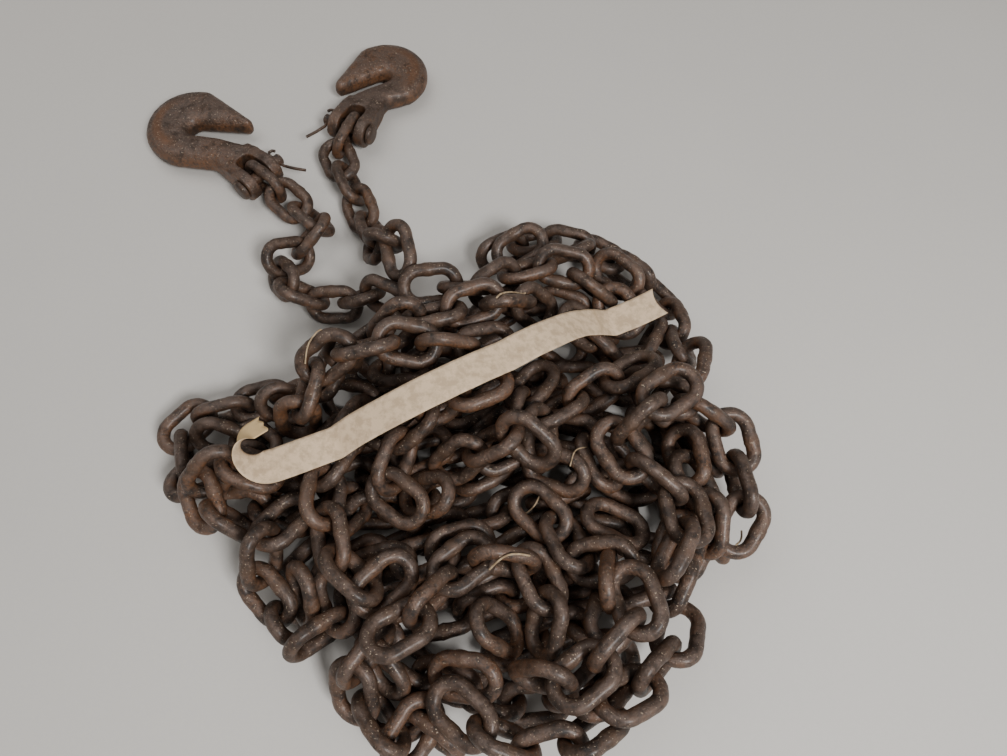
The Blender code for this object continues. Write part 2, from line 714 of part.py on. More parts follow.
def make_cotter(side, material, parent):
    """The bent wire cotter: a short hooked end on one side of the pin and a long bent leg on the other."""
    hook = HOOKS[side]
    out = hook["mouth_side"]
    radius = hook["pin_diameter"] / 2
    place = cotter_place(hook)
    bend = radius + COTTER_WIRE / 2
    eye = bend + COTTER_EYE_RADIUS
    points = [(-bend - COTTER_LEG * math.cos(COTTER_SPREAD), place + out * COTTER_LEG * math.sin(COTTER_SPREAD)),
              (-bend - 0.5 * COTTER_LEG, place + out * 0.42 * COTTER_LEG * math.sin(COTTER_SPREAD)),
              (-bend - 0.1 * COTTER_LEG, place), (0.0, place), (bend, place)]
    points += [(eye + COTTER_EYE_RADIUS * math.sin(t), place + out * COTTER_EYE_RADIUS * (1 - math.cos(t)))
               for t in (math.radians(a) for a in (30, 80, 130, 180))]
    curve = bpy.data.curves.new(f"cotter_{side}", "CURVE")
    curve.dimensions = "3D"
    curve.bevel_depth = COTTER_WIRE / 2
    curve.bevel_resolution = 1
    curve.use_fill_caps = True
    spline = curve.splines.new("POLY")
    spline.points.add(len(points) - 1)
    for spot, (x, y) in zip(spline.points, points):
        spot.co = (x, y, 0.0, 1.0)
    curve.materials.append(material)
    cotter = bpy.data.objects.new(f"cotter_{side}", curve)
    bpy.context.scene.collection.objects.link(cotter)
    cotter.parent = parent
    return cotter


def hook_pitch(hook):
    """How far the hook leans down from its pin, so that its bowl lies on the floor."""
    far = hook["reach"] + hook["bowl"]
    half = hook["thickness"] / 2
    return math.asin(PIN_HEIGHT / math.hypot(far, half)) - math.atan2(half, far)


def hook_frame(side, parent):
    """An empty on the pin's axis, which carries the hook, its pin and its cotter."""
    hook = HOOKS[side]
    empty = bpy.data.objects.new(f"hook_{side}_pivot", None)
    bpy.context.scene.collection.objects.link(empty)
    empty.parent = parent
    empty.location = (hook["pin"][0] * MM, hook["pin"][1] * MM, PIN_HEIGHT)
    empty.rotation_euler = (0.0, hook_pitch(hook), math.radians(hook["heading"]))
    return empty


def tape_line():
    """Middle line of the tape on the floor plane, with its curl at the left end, and how far it rises there."""
    curve = smooth_route(TAPE_ROUTE, TAPE_STEP)
    heading = curve[-1] - curve[-2]
    heading /= np.linalg.norm(heading)
    right = np.array([heading[1], -heading[0]])
    centre = curve[-1] + TAPE_CURL_RADIUS * right
    steps = 9
    curl = []
    for i in range(1, steps + 1):
        turn = TAPE_CURL_TURN * i / steps
        curl.append(centre - TAPE_CURL_RADIUS * (math.cos(turn) * right - math.sin(turn) * heading))
    rises = [0.0] * len(curve)
    rises += [TAPE_CURL_RISE * math.sin(math.pi / 2 * i / steps) ** 2 for i in range(1, steps + 1)]
    return np.vstack([curve, curl]), np.array(rises)


def tape_edges(rods):
    """Both edges of the tape's underside, laid over all that is below it and bent no more than TAPE_BEND.

    The rods are points on their centrelines, each with its radius as a fourth number.
    """
    line, rises = tape_line()
    ahead = np.gradient(line, axis=0)
    ahead /= np.linalg.norm(ahead, axis=1)[:, None]
    beside = np.column_stack([-ahead[:, 1], ahead[:, 0]])
    offsets = rods[:, None, :2] - line[None, :, :]
    nearest = np.linalg.norm(offsets, axis=2).argmin(axis=1)
    offset = offsets[np.arange(len(rods)), nearest]
    past_end = np.abs((offset * ahead[nearest]).sum(axis=1)) > TAPE_STEP
    past_edge = np.maximum(np.abs((offset * beside[nearest]).sum(axis=1)) - TAPE_WIDTH / 2, 0)
    under = (past_edge < rods[:, 3]) & ~past_end
    travelled = np.concatenate([[0], np.cumsum(np.linalg.norm(np.diff(line, axis=0), axis=1))])
    peaks = rods[under, 2] + np.sqrt(rods[under, 3] ** 2 - past_edge[under] ** 2) + TAPE_GAP
    drop = TAPE_BEND * (travelled[:, None] - travelled[nearest[under]][None, :]) ** 2
    heights = (peaks[None, :] - drop).max(axis=1) + rises
    left = np.column_stack([line + beside * TAPE_WIDTH / 2, heights])
    right = np.column_stack([line - beside * TAPE_WIDTH / 2, heights])
    return left, right


def make_tape(rods, material, parent):
    """The strip of tape across the top of the heap."""
    left, right = tape_edges(rods)
    lift = np.array([0.0, 0.0, TAPE_THICKNESS])
    bm = bmesh.new()
    rows = []
    for a, b in zip(left, right):
        rows.append([bm.verts.new(p) for p in (a, b, b + lift, a + lift)])
    for here, there in zip(rows, rows[1:]):
        for i in range(4):
            j = (i + 1) % 4
            bm.faces.new((here[i], here[j], there[j], there[i]))
    bm.faces.new(rows[0])
    bm.faces.new(list(reversed(rows[-1])))
    return mesh_object("tape_strip", bm, material, parent)


def stand_on_origin(root):
    """Moves the root so that the origin is the middle of the whole object's box, on the floor."""
    bpy.context.view_layer.update()
    graph = bpy.context.evaluated_depsgraph_get()
    low, high = Vector((9, 9, 9)), Vector((-9, -9, -9))
    for thing in bpy.context.scene.objects:
        if thing.type == "EMPTY" or thing.hide_render:
            continue
        evaluated = thing.evaluated_get(graph)
        for vertex in evaluated.to_mesh().vertices:
            spot = evaluated.matrix_world @ vertex.co
            low = Vector(map(min, low, spot))
            high = Vector(map(max, high, spot))
        evaluated.to_mesh_clear()
    root.location = (-(low.x + high.x) / 2, -(low.y + high.y) / 2, -low.z)


def main():
    clear_scene()
    steel, hook_steel, pin_steel, paper, core_steel = (
        make_material(*look) for look in (STEEL, HOOK_STEEL, PIN_STEEL, PAPER, CORE_STEEL))
    root = bpy.data.objects.new("heap_root", None)
    bpy.context.scene.collection.objects.link(root)
    runs, hidden, laid = lay_chain()
    for side, count in FREE_LINKS.items():
        end = runs[f"{side}_end"]
        make_free_links(side, end[:count], steel, root)
        make_run(f"run_{side}_end", end[count:], FREE_ROD, steel, root)
        pivot = hook_frame(side, root)
        make_hook(side, hook_steel, pivot)
        make_pin(side, pin_steel, pivot)
        make_cotter(side, pin_steel, pivot)
    for name, _, _ in FLOOR_RUNS + TOP_RUNS:
        make_run(name, runs[name], HEAP_ROD, steel, root)
    make_core(hidden, core_steel, root)
    make_tape(laid, paper, root)
    stand_on_origin(root)


main()
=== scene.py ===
"""The looks of a heap of rusty steel chain with a grab hook at each end and a strip of tape on top.

The packed solids are loaded as a fixed frame. The chain is laid again by the same rules as the solids,
so that the round links of the runs lie where their plain links do. The wedged links have no solids.
Lengths are in metres, routes in millimetres.
"""

import math

import bmesh
import bpy
import numpy as np
from bpy.props import FloatProperty, FloatVectorProperty, IntProperty, PointerProperty
from mathutils import Matrix, Vector, kdtree, noise


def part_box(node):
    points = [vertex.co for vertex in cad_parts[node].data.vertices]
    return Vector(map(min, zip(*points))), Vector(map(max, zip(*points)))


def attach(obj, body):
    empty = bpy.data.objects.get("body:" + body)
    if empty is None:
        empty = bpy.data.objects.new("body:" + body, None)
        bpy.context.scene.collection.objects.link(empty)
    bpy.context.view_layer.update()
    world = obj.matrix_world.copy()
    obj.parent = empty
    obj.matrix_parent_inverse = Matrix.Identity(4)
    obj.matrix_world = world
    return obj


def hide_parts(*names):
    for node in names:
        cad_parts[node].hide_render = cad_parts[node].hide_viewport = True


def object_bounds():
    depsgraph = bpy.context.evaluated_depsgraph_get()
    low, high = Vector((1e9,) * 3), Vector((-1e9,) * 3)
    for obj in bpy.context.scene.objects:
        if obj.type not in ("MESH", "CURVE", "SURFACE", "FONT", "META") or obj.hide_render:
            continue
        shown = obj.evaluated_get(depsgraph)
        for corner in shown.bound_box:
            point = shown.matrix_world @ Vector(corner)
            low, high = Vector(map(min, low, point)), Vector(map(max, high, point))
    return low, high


bl_info = {
    "name": "Heap of steel chain",
    "version": (1, 0, 0),
    "blender": (4, 5, 0),
    "location": "3D View > Sidebar > Chain heap",
    "description": "Dresses a heap of rusty steel chain with its hooks, pins and tape",
    "category": "Object",
}

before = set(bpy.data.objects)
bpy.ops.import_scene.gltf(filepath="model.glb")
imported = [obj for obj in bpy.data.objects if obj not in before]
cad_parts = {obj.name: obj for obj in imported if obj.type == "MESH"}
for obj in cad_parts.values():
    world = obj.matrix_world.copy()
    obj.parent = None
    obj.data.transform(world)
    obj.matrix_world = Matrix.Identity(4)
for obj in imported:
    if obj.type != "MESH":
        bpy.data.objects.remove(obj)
CAD_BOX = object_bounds()
MM = 0.001

# Chain link
ROD = 0.010
LINK_INNER_LENGTH = 0.031
LINK_INNER_WIDTH = 0.015
TOUCH = 0.0005
LEAST_SQUARE = 0.42

# Radius of a rod with its rust and scale
RUSTY_RADIUS = 0.00525

# The plain rods of the solids, which decide how high each run lies: corner radius and crown steps
HEAP_ROD = (0.0054, 3)
FREE_ROD = (0.0050, 6)
HIDDEN_ROD = (0.0054, 2)

# How runs lie
PILE_GAP = 0.0
STEEPEST = math.radians(48)
LAY_ROUNDS = 26
LAY_SHARE = 0.75
LAY_ERROR = 0.00003
SETTLE_DROPS = (0.004, 0.002, 0.001, 0.0005, 0.0003)
TWIST = math.radians(13)
TWIST_STEP = 0.8

# Core, the low mound in the middle of the heap that the hidden links stand in
CORE_HEIGHT = 0.024
CORE_GAP = 0.0005
CORE_RINGS = ((1.0, 0.0), (0.93, 0.42), (0.82, 0.72), (0.64, 0.9), (0.36, 0.98))
CORE_STEPS = 30
CORE_SPACING = 0.005

# Masking tape
TAPE_WIDTH = 0.024
TAPE_THICKNESS = 0.0005
TAPE_GAP = 0.0004
TAPE_BEND = 4.5
TAPE_CURL_RADIUS = 0.0125
TAPE_CURL_TURN = math.radians(165)
TAPE_CURL_RISE = 0.004
TAPE_CURL_STEPS = 27
TAPE_TAIL_STEPS = 3
TAPE_BARRIER_LIFTS = (0.005, 0.013, 0.021, 0.029, 0.037)
TAPE_COLUMNS = 13

# The tape's ends: how much narrower the curl is, and how long the flare, the cut and the tear are
TAPE_CURL_NARROWING = 0.22
TAPE_FLARE_LENGTH = 0.022
TAPE_CUT_DEPTH = 0.0035
TAPE_CUT_LENGTH = 0.010
TAPE_TEAR_DEPTH = 0.009
TAPE_TEAR_LENGTH = 0.008
TAPE_CREASE_WIDTH = 0.0025
TAPE_CREASE_SLANT = 0.10

# Clevis, pins and cotters
THROAT_WIDTH = 0.016
EAR_THICKNESS = 0.011
PIN_SLACK = 0.0003
LINK_ON_PIN = 0.0005
PIN_RAISED = 0.0005
PIN_HEIGHT = LINK_INNER_WIDTH / 2 + ROD + PIN_RAISED
PIN_HEAD_RADIUS = 0.0095
PIN_HEAD_THICKNESS = 0.005
PIN_TAIL = 0.009
COTTER_WIRE = 0.0028
COTTER_LEG = 0.024
COTTER_EYE_RADIUS = 0.0035
COTTER_SPREAD = math.radians(22)
PIN_CHAMFER = 0.0012

# The raised band round a hook's bowl: its middle and half width as shares of the bowl, its bearing and reach
BAND_MIDDLE = 0.70
BAND_HALF_WIDTH = 0.11
BAND_BEARING = math.radians(50)
BAND_REACH = math.radians(62)

# A hook's wall lies within this share of its half thickness, and a top faces up by more than this
WALL_HEIGHT_SHARE = 0.8
TOP_FACING = 0.5

# The photograph's camera: its focal length and the point below it in pixels, its height and its lean
PHOTO_WIDTH = 1007
FOCAL_PIXELS = 656.0
AXIS_PIXEL = 449.0
CAMERA_HEIGHT = 0.505
CAMERA_LEAN = math.radians(22.8)

# The stage: how far the floor reaches each way, how far it lies below the part, and the light from all round
FLOOR_REACH = 4
FLOOR_DROP = 0.0005
SKY_COLOR = (1.0, 0.97, 0.93, 1.0)

# Dry straws caught in the chain: start, end, sideways bend and radius
STRAWS = [
    ((34, 236), (58, 252), 0.10, 0.0007),
    ((46, 214), (70, 232), -0.12, 0.0006),
    ((26, 50), (52, 58), 0.15, 0.0007),
    ((-82, 128), (-62, 148), 0.08, 0.0006),
    ((46, 92), (66, 108), -0.20, 0.0006),
    ((84, 120), (98, 136), 0.18, 0.0005),
    ((-100, 186), (-88, 206), 0.12, 0.0006),
    ((200, 70), (212, 82), -0.10, 0.0007),
]
STRAW_STEPS = 12
STRAW_STEEPEST = 0.9

# The hooks: where each pin is, which way the hook points from it, and its own sizes
HOOKS = {
    "left": {
        "pin": (-176, 407), "heading": 139.5, "mouth_side": -1, "reach": 0.094, "bowl": 0.044,
        "thickness": 0.022, "slot": 0.0150, "slot_turn": 31, "tip": (0.054, 0.036), "tip_radius": 0.0050,
        "pin_diameter": 0.0110,
    },
    "right": {
        "pin": (-94, 465), "heading": 66.0, "mouth_side": 1, "reach": 0.078, "bowl": 0.041,
        "thickness": 0.021, "slot": 0.0135, "slot_turn": 37, "tip": (0.044, 0.034), "tip_radius": 0.0060,
        "pin_diameter": 0.0100,
    },
}

# The ends that run out to the hooks, and the rolls of their first links in degrees
LEFT_END = [(-176, 407), (-155, 389), (-132, 368), (-112, 350), (-124, 334), (-146, 324), (-152, 300),
            (-130, 284), (-100, 277), (-70, 268), (-42, 256), (-18, 238), (2, 218)]
RIGHT_END = [(-94, 465), (-104, 441), (-94, 404), (-80, 372), (-69, 342), (-58, 314), (-44, 291),
             (-34, 269), (-24, 240)]
LEFT_END_ROLLS = (86, 16, -50, 46, -44, 48, -38, 54)
RIGHT_END_ROLLS = (78, 10, -56, 36, -50)
FREE_LINKS = {"left": 8, "right": 5}
END_LINKS_IN_HEAP = 3

# The runs, from the floor up: name, roll of the first link in degrees, and the route
FLOOR_RUNS = [
    ("run_top_edge", 25, [(166, 172), (186, 200), (190, 232), (184, 265), (165, 293), (138, 318), (108, 336),
                          (76, 336), (44, 324), (14, 308)]),
    ("run_right_lobe", -5, [(150, 174), (178, 168), (200, 148), (209, 120), (206, 90), (190, 62), (168, 48)]),
    ("run_left_upper", 80, [(-112, 198), (-146, 184), (-178, 176), (-206, 164), (-216, 142), (-196, 123),
                            (-166, 128), (-138, 140)]),
    ("run_left_lower", -70, [(-115, 116), (-142, 124), (-168, 118), (-176, 94), (-154, 80), (-124, 78),
                             (-95, 68)]),
    ("run_lower_left", 20, [(-109, 90), (-128, 64), (-122, 38), (-104, 16), (-82, 0), (-62, -8)]),
    ("run_lower_tip", -75, [(-48, 6), (-64, -16), (-56, -42), (-29, -52), (-14, -32), (2, -5)]),
    ("run_bottom", 15, [(2, -29), (22, -46), (52, -54), (84, -48), (106, -32), (112, -4)]),
    ("run_right_lower", -35, [(104, -26), (130, -14), (150, 8), (160, 36), (154, 66)]),
]
TOP_RUNS = [
    ("run_north_rim", 40, [(-22, 258), (10, 264), (40, 279), (70, 291), (102, 289), (130, 270),
                            (150, 244), (156, 214)]),
    ("run_north_inner", 40, [(-84, 214), (-56, 226), (-24, 232), (8, 234), (40, 247), (72, 250),
                              (102, 236), (124, 212)]),
    ("run_west_inner", 25, [(-112, 158), (-98, 186), (-70, 199), (-40, 197), (-8, 200), (24, 208),
                             (54, 213), (82, 200)]),
    ("run_tape_east", 40, [(140, 196), (112, 178), (84, 166), (60, 150), (66, 124), (92, 112), (112, 92)]),
    ("run_east_inner", -5, [(160, 172), (136, 156), (118, 134), (132, 112), (156, 98), (160, 70), (142, 50),
                            (118, 40)]),
    ("run_centre", 25, [(28, 172), (-2, 160), (-32, 148), (-46, 122), (-34, 96), (-6, 84)]),
    ("run_heart", 40, [(2, 124), (30, 138), (58, 130), (72, 106), (58, 82)]),
    ("run_middle_west", -55, [(-64, 160), (-78, 134), (-90, 108), (-84, 78), (-72, 50), (-46, 36), (-28, 56),
                             (-12, 78)]),
    ("run_south_inner", -25, [(-38, 10), (-14, 24), (2, 48), (26, 66), (50, 56), (66, 34), (62, 6),
                              (36, -6)]),
    ("run_south_east", 60, [(54, -14), (82, -10), (106, 6), (120, 32), (106, 58), (82, 72), (62, 92)]),
]
CORE_OUTLINE = [(158, 215), (132, 262), (90, 296), (40, 286), (-20, 258), (-78, 212), (-106, 160), (-98, 100),
                (-88, 40), (-50, 4), (10, -30), (88, -32), (140, 8), (184, 70), (186, 150)]

# The hidden runs, which stand in the core: roll of the first link and the route
HIDDEN_RUNS = [
    (30, [(128, 250), (96, 274), (52, 268), (12, 250), (-26, 232), (-58, 208)]),
    (34, [(-86, 188), (-54, 184), (-20, 198), (14, 216), (50, 230), (86, 236), (124, 220)]),
    (29, [(138, 196), (104, 204), (68, 200), (34, 184), (0, 170), (-36, 160), (-70, 158), (-94, 142)]),
    (42, [(-84, 118), (-52, 130), (-18, 140), (16, 152), (50, 168), (86, 174), (120, 168), (150, 160)]),
    (54, [(152, 130), (118, 138), (84, 142), (50, 134), (16, 118), (-20, 106), (-54, 98), (-78, 86)]),
    (28, [(-70, 58), (-42, 72), (-8, 82), (26, 92), (60, 104), (96, 112), (130, 106), (156, 98)]),
    (48, [(146, 70), (112, 80), (78, 78), (44, 64), (10, 50), (-26, 42), (-58, 34)]),
    (42, [(-40, 14), (-8, 22), (26, 32), (60, 46), (96, 52), (128, 44)]),
    (32, [(112, 22), (80, 18), (48, 4), (20, -2)]),
    (40, [(168, 196), (180, 164), (178, 130), (184, 98), (172, 66), (154, 38)]),
    (30, [(-56, 22), (-34, -4), (-2, -16), (32, -28), (66, -30), (98, -18), (130, 6)]),
]

# Links wedged in the hollows between the runs: where the first one lies, its heading and how many to hang
# A start that has no room left for a link gives none
WEDGED_STARTS = [
    ((150, 262), 200, 4), ((104, 238), 10, 4), ((156, 236), -90, 3), ((-64, 222), 80, 3), ((-96, 150), 70, 4),
    ((-128, 104), 60, 3), ((-132, 150), 0, 3), ((-16, 104), 20, 3), ((64, 92), -20, 4), ((150, 96), 90, 4),
    ((116, 84), 180, 4), ((-24, 28), 60, 4), ((-64, 44), 90, 4), ((110, 24), 90, 4), ((-40, 92), 150, 4),
    ((192, 144), -90, 4), ((196, 84), 100, 4), ((-72, 264), 0, 3), ((60, 252), 180, 3), ((96, 272), 0, 3),
    ((32, 16), 0, 4), ((-36, -36), 20, 3), ((-10, -60), 20, 3), ((96, -20), 60, 4), ((150, 40), 60, 4),
    ((-20, 140), 0, 3), ((40, 138), 0, 3), ((90, 150), -20, 3), ((-90, 60), 90, 3), ((-150, 100), 0, 3),
    ((-106, 66), 40, 3), ((-98, 36), 70, 3), ((-86, 12), 60, 3), ((-104, 100), -60, 3), ((-60, 214), -20, 3),
    ((-96, 206), 40, 3), ((150, 156), 120, 3), ((172, 132), -60, 3), ((184, 110), 90, 3), ((180, 84), 60, 3),
    ((172, 190), 80, 3), ((76, 164), 30, 3), ((140, 292), -20, 3), ((100, 312), 180, 1), ((60, 318), 0, 1),
    ((-20, 60), 160, 3), ((20, 94), 100, 3), ((96, 62), 20, 3), ((128, 56), 120, 3), ((70, -34), 0, 3),
    ((10, -14), 150, 3), ((-44, -8), 100, 3), ((-124, 176), 20, 3), ((-172, 150), 10, 2),
    ((-160, 110), 90, 2), ((-74, 96), 30, 2), ((-68, 90), 120, 2), ((158, 100), 0, 2), ((160, 92), 60, 2),
    ((164, 106), 120, 2),
]
WEDGED_TURNS = (-75, -50, -25, 0, 25, 50, 75)
WEDGED_FIRST_TURNS = (-25, 0, 25)
WEDGED_TILTS = (-40, -20, 0, 20, 40)
WEDGED_ROLLS = (0, 25, 50, 75, 100, 125, 150)
WEDGED_HEIGHTS = (0.007, 0.013, 0.019, 0.026, 0.034, 0.043)
WEDGED_OVERLAP = 0.0028
WEDGED_CEILING = 0.060
WEDGED_DRAW = 0.35

# What counts against a place for a wedged link, beside its deepest overlap: mean overlap, height, ceiling
WEDGED_MEAN_COST = 2
WEDGED_HEIGHT_COST = 0.03
WEDGED_CEILING_COST = 3

# The tape: its middle line from the right end to where it curls back on the left
TAPE_ROUTE = [(168, 259), (140, 247), (104, 234), (70, 211), (32, 186), (0, 168), (-30, 154), (-62, 141),
              (-95, 126), (-122, 116)]


def link_length():
    """Length of a link's rod centreline, from the middle of one crown to the other."""
    return LINK_INNER_LENGTH + ROD


def crown_radius():
    """Radius of the rod centreline round a link's crown."""
    return (LINK_INNER_WIDTH + ROD) / 2


def link_outline(crown_steps):
    """Rod centreline of a link as points (along, across).

    The corners of its crowns lie as far outside the round crown as the chords between them lie inside it.
    """
    leg = leg_length() / 2
    radius = crown_radius() * 2 / (1 + math.cos(math.pi / crown_steps / 2))
    turns = [math.radians(-90 + 180 * i / crown_steps) for i in range(crown_steps + 1)]
    crown = [(leg + radius * math.cos(t), radius * math.sin(t)) for t in turns]
    return np.array(crown + [(-a, -b) for a, b in crown])


def dense_outline(crown_steps, spacing=0.004):
    """Points along the link's outline, no further apart than the spacing."""
    corners = link_outline(crown_steps)
    points = []
    for here, there in zip(corners, np.roll(corners, -1, axis=0)):
        pieces = math.ceil(np.linalg.norm(there - here) / spacing)
        points += [here + (there - here) * i / pieces for i in range(pieces)]
    return np.array(points)


def leg_length():
    """Length of a link's straight legs, which is also the distance between its crowns' centres."""
    return link_length() - 2 * crown_radius()


def link_axes(along, roll):
    """Unit vectors across a link in its own plane, and square to that plane."""
    level = np.array([-along[1], along[0], 0.0])
    level /= math.hypot(level[0], level[1])
    up = np.cross(along, level)
    across = math.cos(roll) * level + math.sin(roll) * up
    return across, np.cross(along, across)


def crown_spread(before, after):
    """Distance between the centres of two crowns that hang in one another, from the links' normals."""
    room = ROD + TOUCH
    square = max(1 - abs(before @ after), LEAST_SQUARE)
    twisted = (2 - square) * (2 * crown_radius() ** 2 - room ** 2 / square)
    return min(2 * crown_radius() - room, math.sqrt(max(twisted, 0.0)))


def smooth_route(points, step=0.002):
    """Evenly spaced points along a curve through the route's points."""
    route = np.array(points, float) * MM
    ends = np.vstack([2 * route[0] - route[1], route, 2 * route[-1] - route[-2]])
    curve = []
    for before, here, there, after in zip(ends, ends[1:], ends[2:], ends[3:]):
        for t in np.linspace(0, 1, 24, endpoint=False):
            curve.append(0.5 * (2 * here + (there - before) * t
                                + (2 * before - 5 * here + 4 * there - after) * t ** 2
                                + (3 * here - before - 3 * there + after) * t ** 3))
    curve = np.array(curve + [route[-1]])
    travelled = np.concatenate([[0], np.cumsum(np.linalg.norm(np.diff(curve, axis=0), axis=1))])
    even = np.arange(0, travelled[-1], step)
    return np.column_stack([np.interp(even, travelled, curve[:, i]) for i in (0, 1)])


def follow(curve, heights, rolls, start_offset):
    """Hangs link after link along the curve, each link's far joint at its given height.

    Gives an array for each link: its middle, along, across and normal.
    """
    leg = leg_length()
    most = 2 * crown_radius() - ROD - TOUCH
    to_joint = leg + most / 2
    centre = np.array([*curve[0], heights[0]])
    normal = None
    at = 0
    links = []
    along = np.array([*(curve[1] - curve[0]), 0.0])
    along /= np.linalg.norm(along)
    for k, roll in enumerate(rolls):
        for _ in range(4):
            across, new_normal = link_axes(along, roll)
            if normal is None:
                start = centre + start_offset * along
            else:
                hang = np.cross(normal, new_normal)
                hang *= math.copysign(1 / max(np.linalg.norm(hang), 1e-6), hang @ along)
                start = centre + crown_spread(normal, new_normal) * hang
            rise = heights[k + 1] - start[2]
            flat = math.sqrt(max(to_joint ** 2 - rise ** 2, (0.3 * to_joint) ** 2))
            away = np.linalg.norm(curve[at:] - start[:2], axis=1)
            beyond = np.nonzero(away >= flat)[0]
            if len(beyond) == 0:
                toward = curve[-1] - curve[-2]
                new_at = at
            else:
                new_at = at + beyond[0]
                toward = curve[new_at] - start[:2]
            toward = flat * toward / np.linalg.norm(toward)
            along = np.array([*toward, rise])
            along /= np.linalg.norm(along)
        across, normal = link_axes(along, roll)
        at = new_at
        centre = start + leg * along
        links.append((start + leg / 2 * along, along, across, normal))
    return np.array(links)


def rod_points(links, outline):
    """Points on the rod centrelines of all the links of a run, link by link."""
    middle, along, across = links[:, 0], links[:, 1], links[:, 2]
    return (middle[:, None, :] + outline[None, :, :1] * along[:, None, :]
            + outline[None, :, 1:] * across[:, None, :])


def lift_needed(points, corner, laid, reach):
    """How far each point must rise to stand clear of the points laid before it, and of the floor."""
    need = corner - points[:, 2]
    if len(laid) == 0:
        return need
    flat = (points[:, None, 0] - laid[None, :, 0]) ** 2 + (points[:, None, 1] - laid[None, :, 1]) ** 2
    room = reach[None, :] ** 2 - flat
    over = np.where(room > 0, laid[None, :, 2] + np.sqrt(np.maximum(room, 0)), -1.0)
    return np.maximum(need, over.max(axis=1) - points[:, 2])


def near(laid, curve):
    """Only what lies within reach of the curve's own box."""
    margin = LINK_INNER_WIDTH + 2 * ROD
    low, high = curve.min(axis=0) - margin, curve.max(axis=0) + margin
    return laid[((laid[:, :2] > low) & (laid[:, :2] < high)).all(axis=1)]


def own_lift(points, corner):
    """How far each link must rise to lie on the links of its own run before the last one."""
    need = np.zeros(len(points))
    for k in range(2, len(points)):
        before = points[: k - 1].reshape(-1, 3)
        reach = np.full(len(before), 2 * corner)
        need[k] = lift_needed(points[k], -1.0, before, reach).max()
    return need


def limit_slopes(heights, pitch):
    """Raises joints beside a high one, so that no link is steeper than STEEPEST."""
    most = pitch * math.sin(STEEPEST)
    for k in range(1, len(heights)):
        heights[k] = max(heights[k], heights[k - 1] - most)
    for k in range(len(heights) - 2, -1, -1):
        heights[k] = max(heights[k], heights[k + 1] - most)
    return heights


def run_rolls(count, first_rolls):
    """Rolls of a run's links: the given ones first, then about a quarter turn more from each to the next."""
    known = len(first_rolls)
    after = np.arange(count - known + 1)
    more = math.pi / 2 * after + TWIST * np.sin(TWIST_STEP * after)
    return np.concatenate([np.radians(first_rolls[:-1]), math.radians(first_rolls[-1]) + more])[:count]


def lay_run(route, first_rolls, rod, laid, start_offset=0.0, count=None):
    """The links of one run, lifted until they clear all that was laid before them.

    As many links as the route holds, or as many as counted.
    """
    corner, crown_steps = rod
    curve = smooth_route(route)
    laid = near(laid, curve)
    reach = laid[:, 3] + corner
    pitch = link_length() - ROD - TOUCH
    count = count or int(2 * MM * len(curve) / pitch)
    rolls = run_rolls(count, first_rolls)
    outline = dense_outline(crown_steps)
    heights = np.full(count + 1, ROD)
    if start_offset:
        heights[0] = PIN_HEIGHT

    def lifts(at_heights):
        points = rod_points(follow(curve, at_heights, rolls, start_offset), outline)
        need = lift_needed(points.reshape(-1, 3), corner, laid, reach).reshape(count, -1).max(axis=1)
        return np.maximum(need, own_lift(points, corner))

    for _ in range(LAY_ROUNDS):
        need = lifts(heights)
        if need.max() < LAY_ERROR:
            break
        lift = np.zeros(count + 1)
        lift[:-1] = np.maximum(lift[:-1], need)
        lift[1:] = np.maximum(lift[1:], need)
        if start_offset:
            lift[0] = 0.0
        heights = limit_slopes(heights + LAY_SHARE * lift, pitch)
    for drop in SETTLE_DROPS:
        for k in range(1 if start_offset else 0, count + 1):
            lowered = heights.copy()
            lowered[k] -= drop
            if lifts(lowered).max() < LAY_ERROR:
                heights = lowered
    return follow(curve, heights, rolls, start_offset)


def direction(heading, tilt):
    """Unit vector with a heading and a tilt in degrees."""
    heading, tilt = math.radians(heading), math.radians(tilt)
    return np.array([math.cos(heading) * math.cos(tilt), math.sin(heading) * math.cos(tilt), math.sin(tilt)])


def overlap_depth(tries, rods):
    """How deep the rods of each link tried would sink into the rods there, or into the floor."""
    spots = tries.reshape(-1, 3)
    low, high = spots.min(axis=0) - ROD, spots.max(axis=0) + ROD
    close = rods[((rods > low) & (rods < high)).all(axis=1)]
    depth = ROD / 2 - spots[:, 2]
    if len(close):
        apart = (spots ** 2).sum(axis=1)[:, None] + (close ** 2).sum(axis=1) - 2 * spots @ close.T
        depth = np.maximum(depth, ROD - np.sqrt(np.maximum(apart.min(axis=1), 0)))
    return np.maximum(depth, 0).reshape(len(tries), -1)


def first_tries(spot, heading):
    """Ways for a first link to lie at a spot."""
    tries = []
    for height in WEDGED_HEIGHTS:
        middle = np.array([spot[0] * MM, spot[1] * MM, height])
        for turn in WEDGED_FIRST_TURNS:
            for tilt in WEDGED_TILTS:
                along = direction(heading + turn, tilt)
                tries += [(middle, along, *link_axes(along, math.radians(roll))) for roll in WEDGED_ROLLS]
    return np.array(tries)


def next_tries(last):
    """Ways for a link to hang in the last one."""
    middle, along_before, _, normal_before = last
    crown = middle + leg_length() / 2 * along_before
    heading = math.degrees(math.atan2(along_before[1], along_before[0]))
    tries = []
    for turn in WEDGED_TURNS:
        for tilt in WEDGED_TILTS:
            along = direction(heading + turn, tilt)
            for roll in WEDGED_ROLLS:
                across, normal = link_axes(along, math.radians(roll))
                if abs(normal @ normal_before) > 1 - LEAST_SQUARE:
                    continue
                hang = np.cross(normal_before, normal)
                hang *= math.copysign(1 / np.linalg.norm(hang), hang @ along)
                if min(hang @ along, hang @ along_before) < WEDGED_DRAW:
                    continue
                start = crown + crown_spread(normal_before, normal) * hang
                tries.append((start + leg_length() / 2 * along, along, across, normal))
    return np.array(tries)


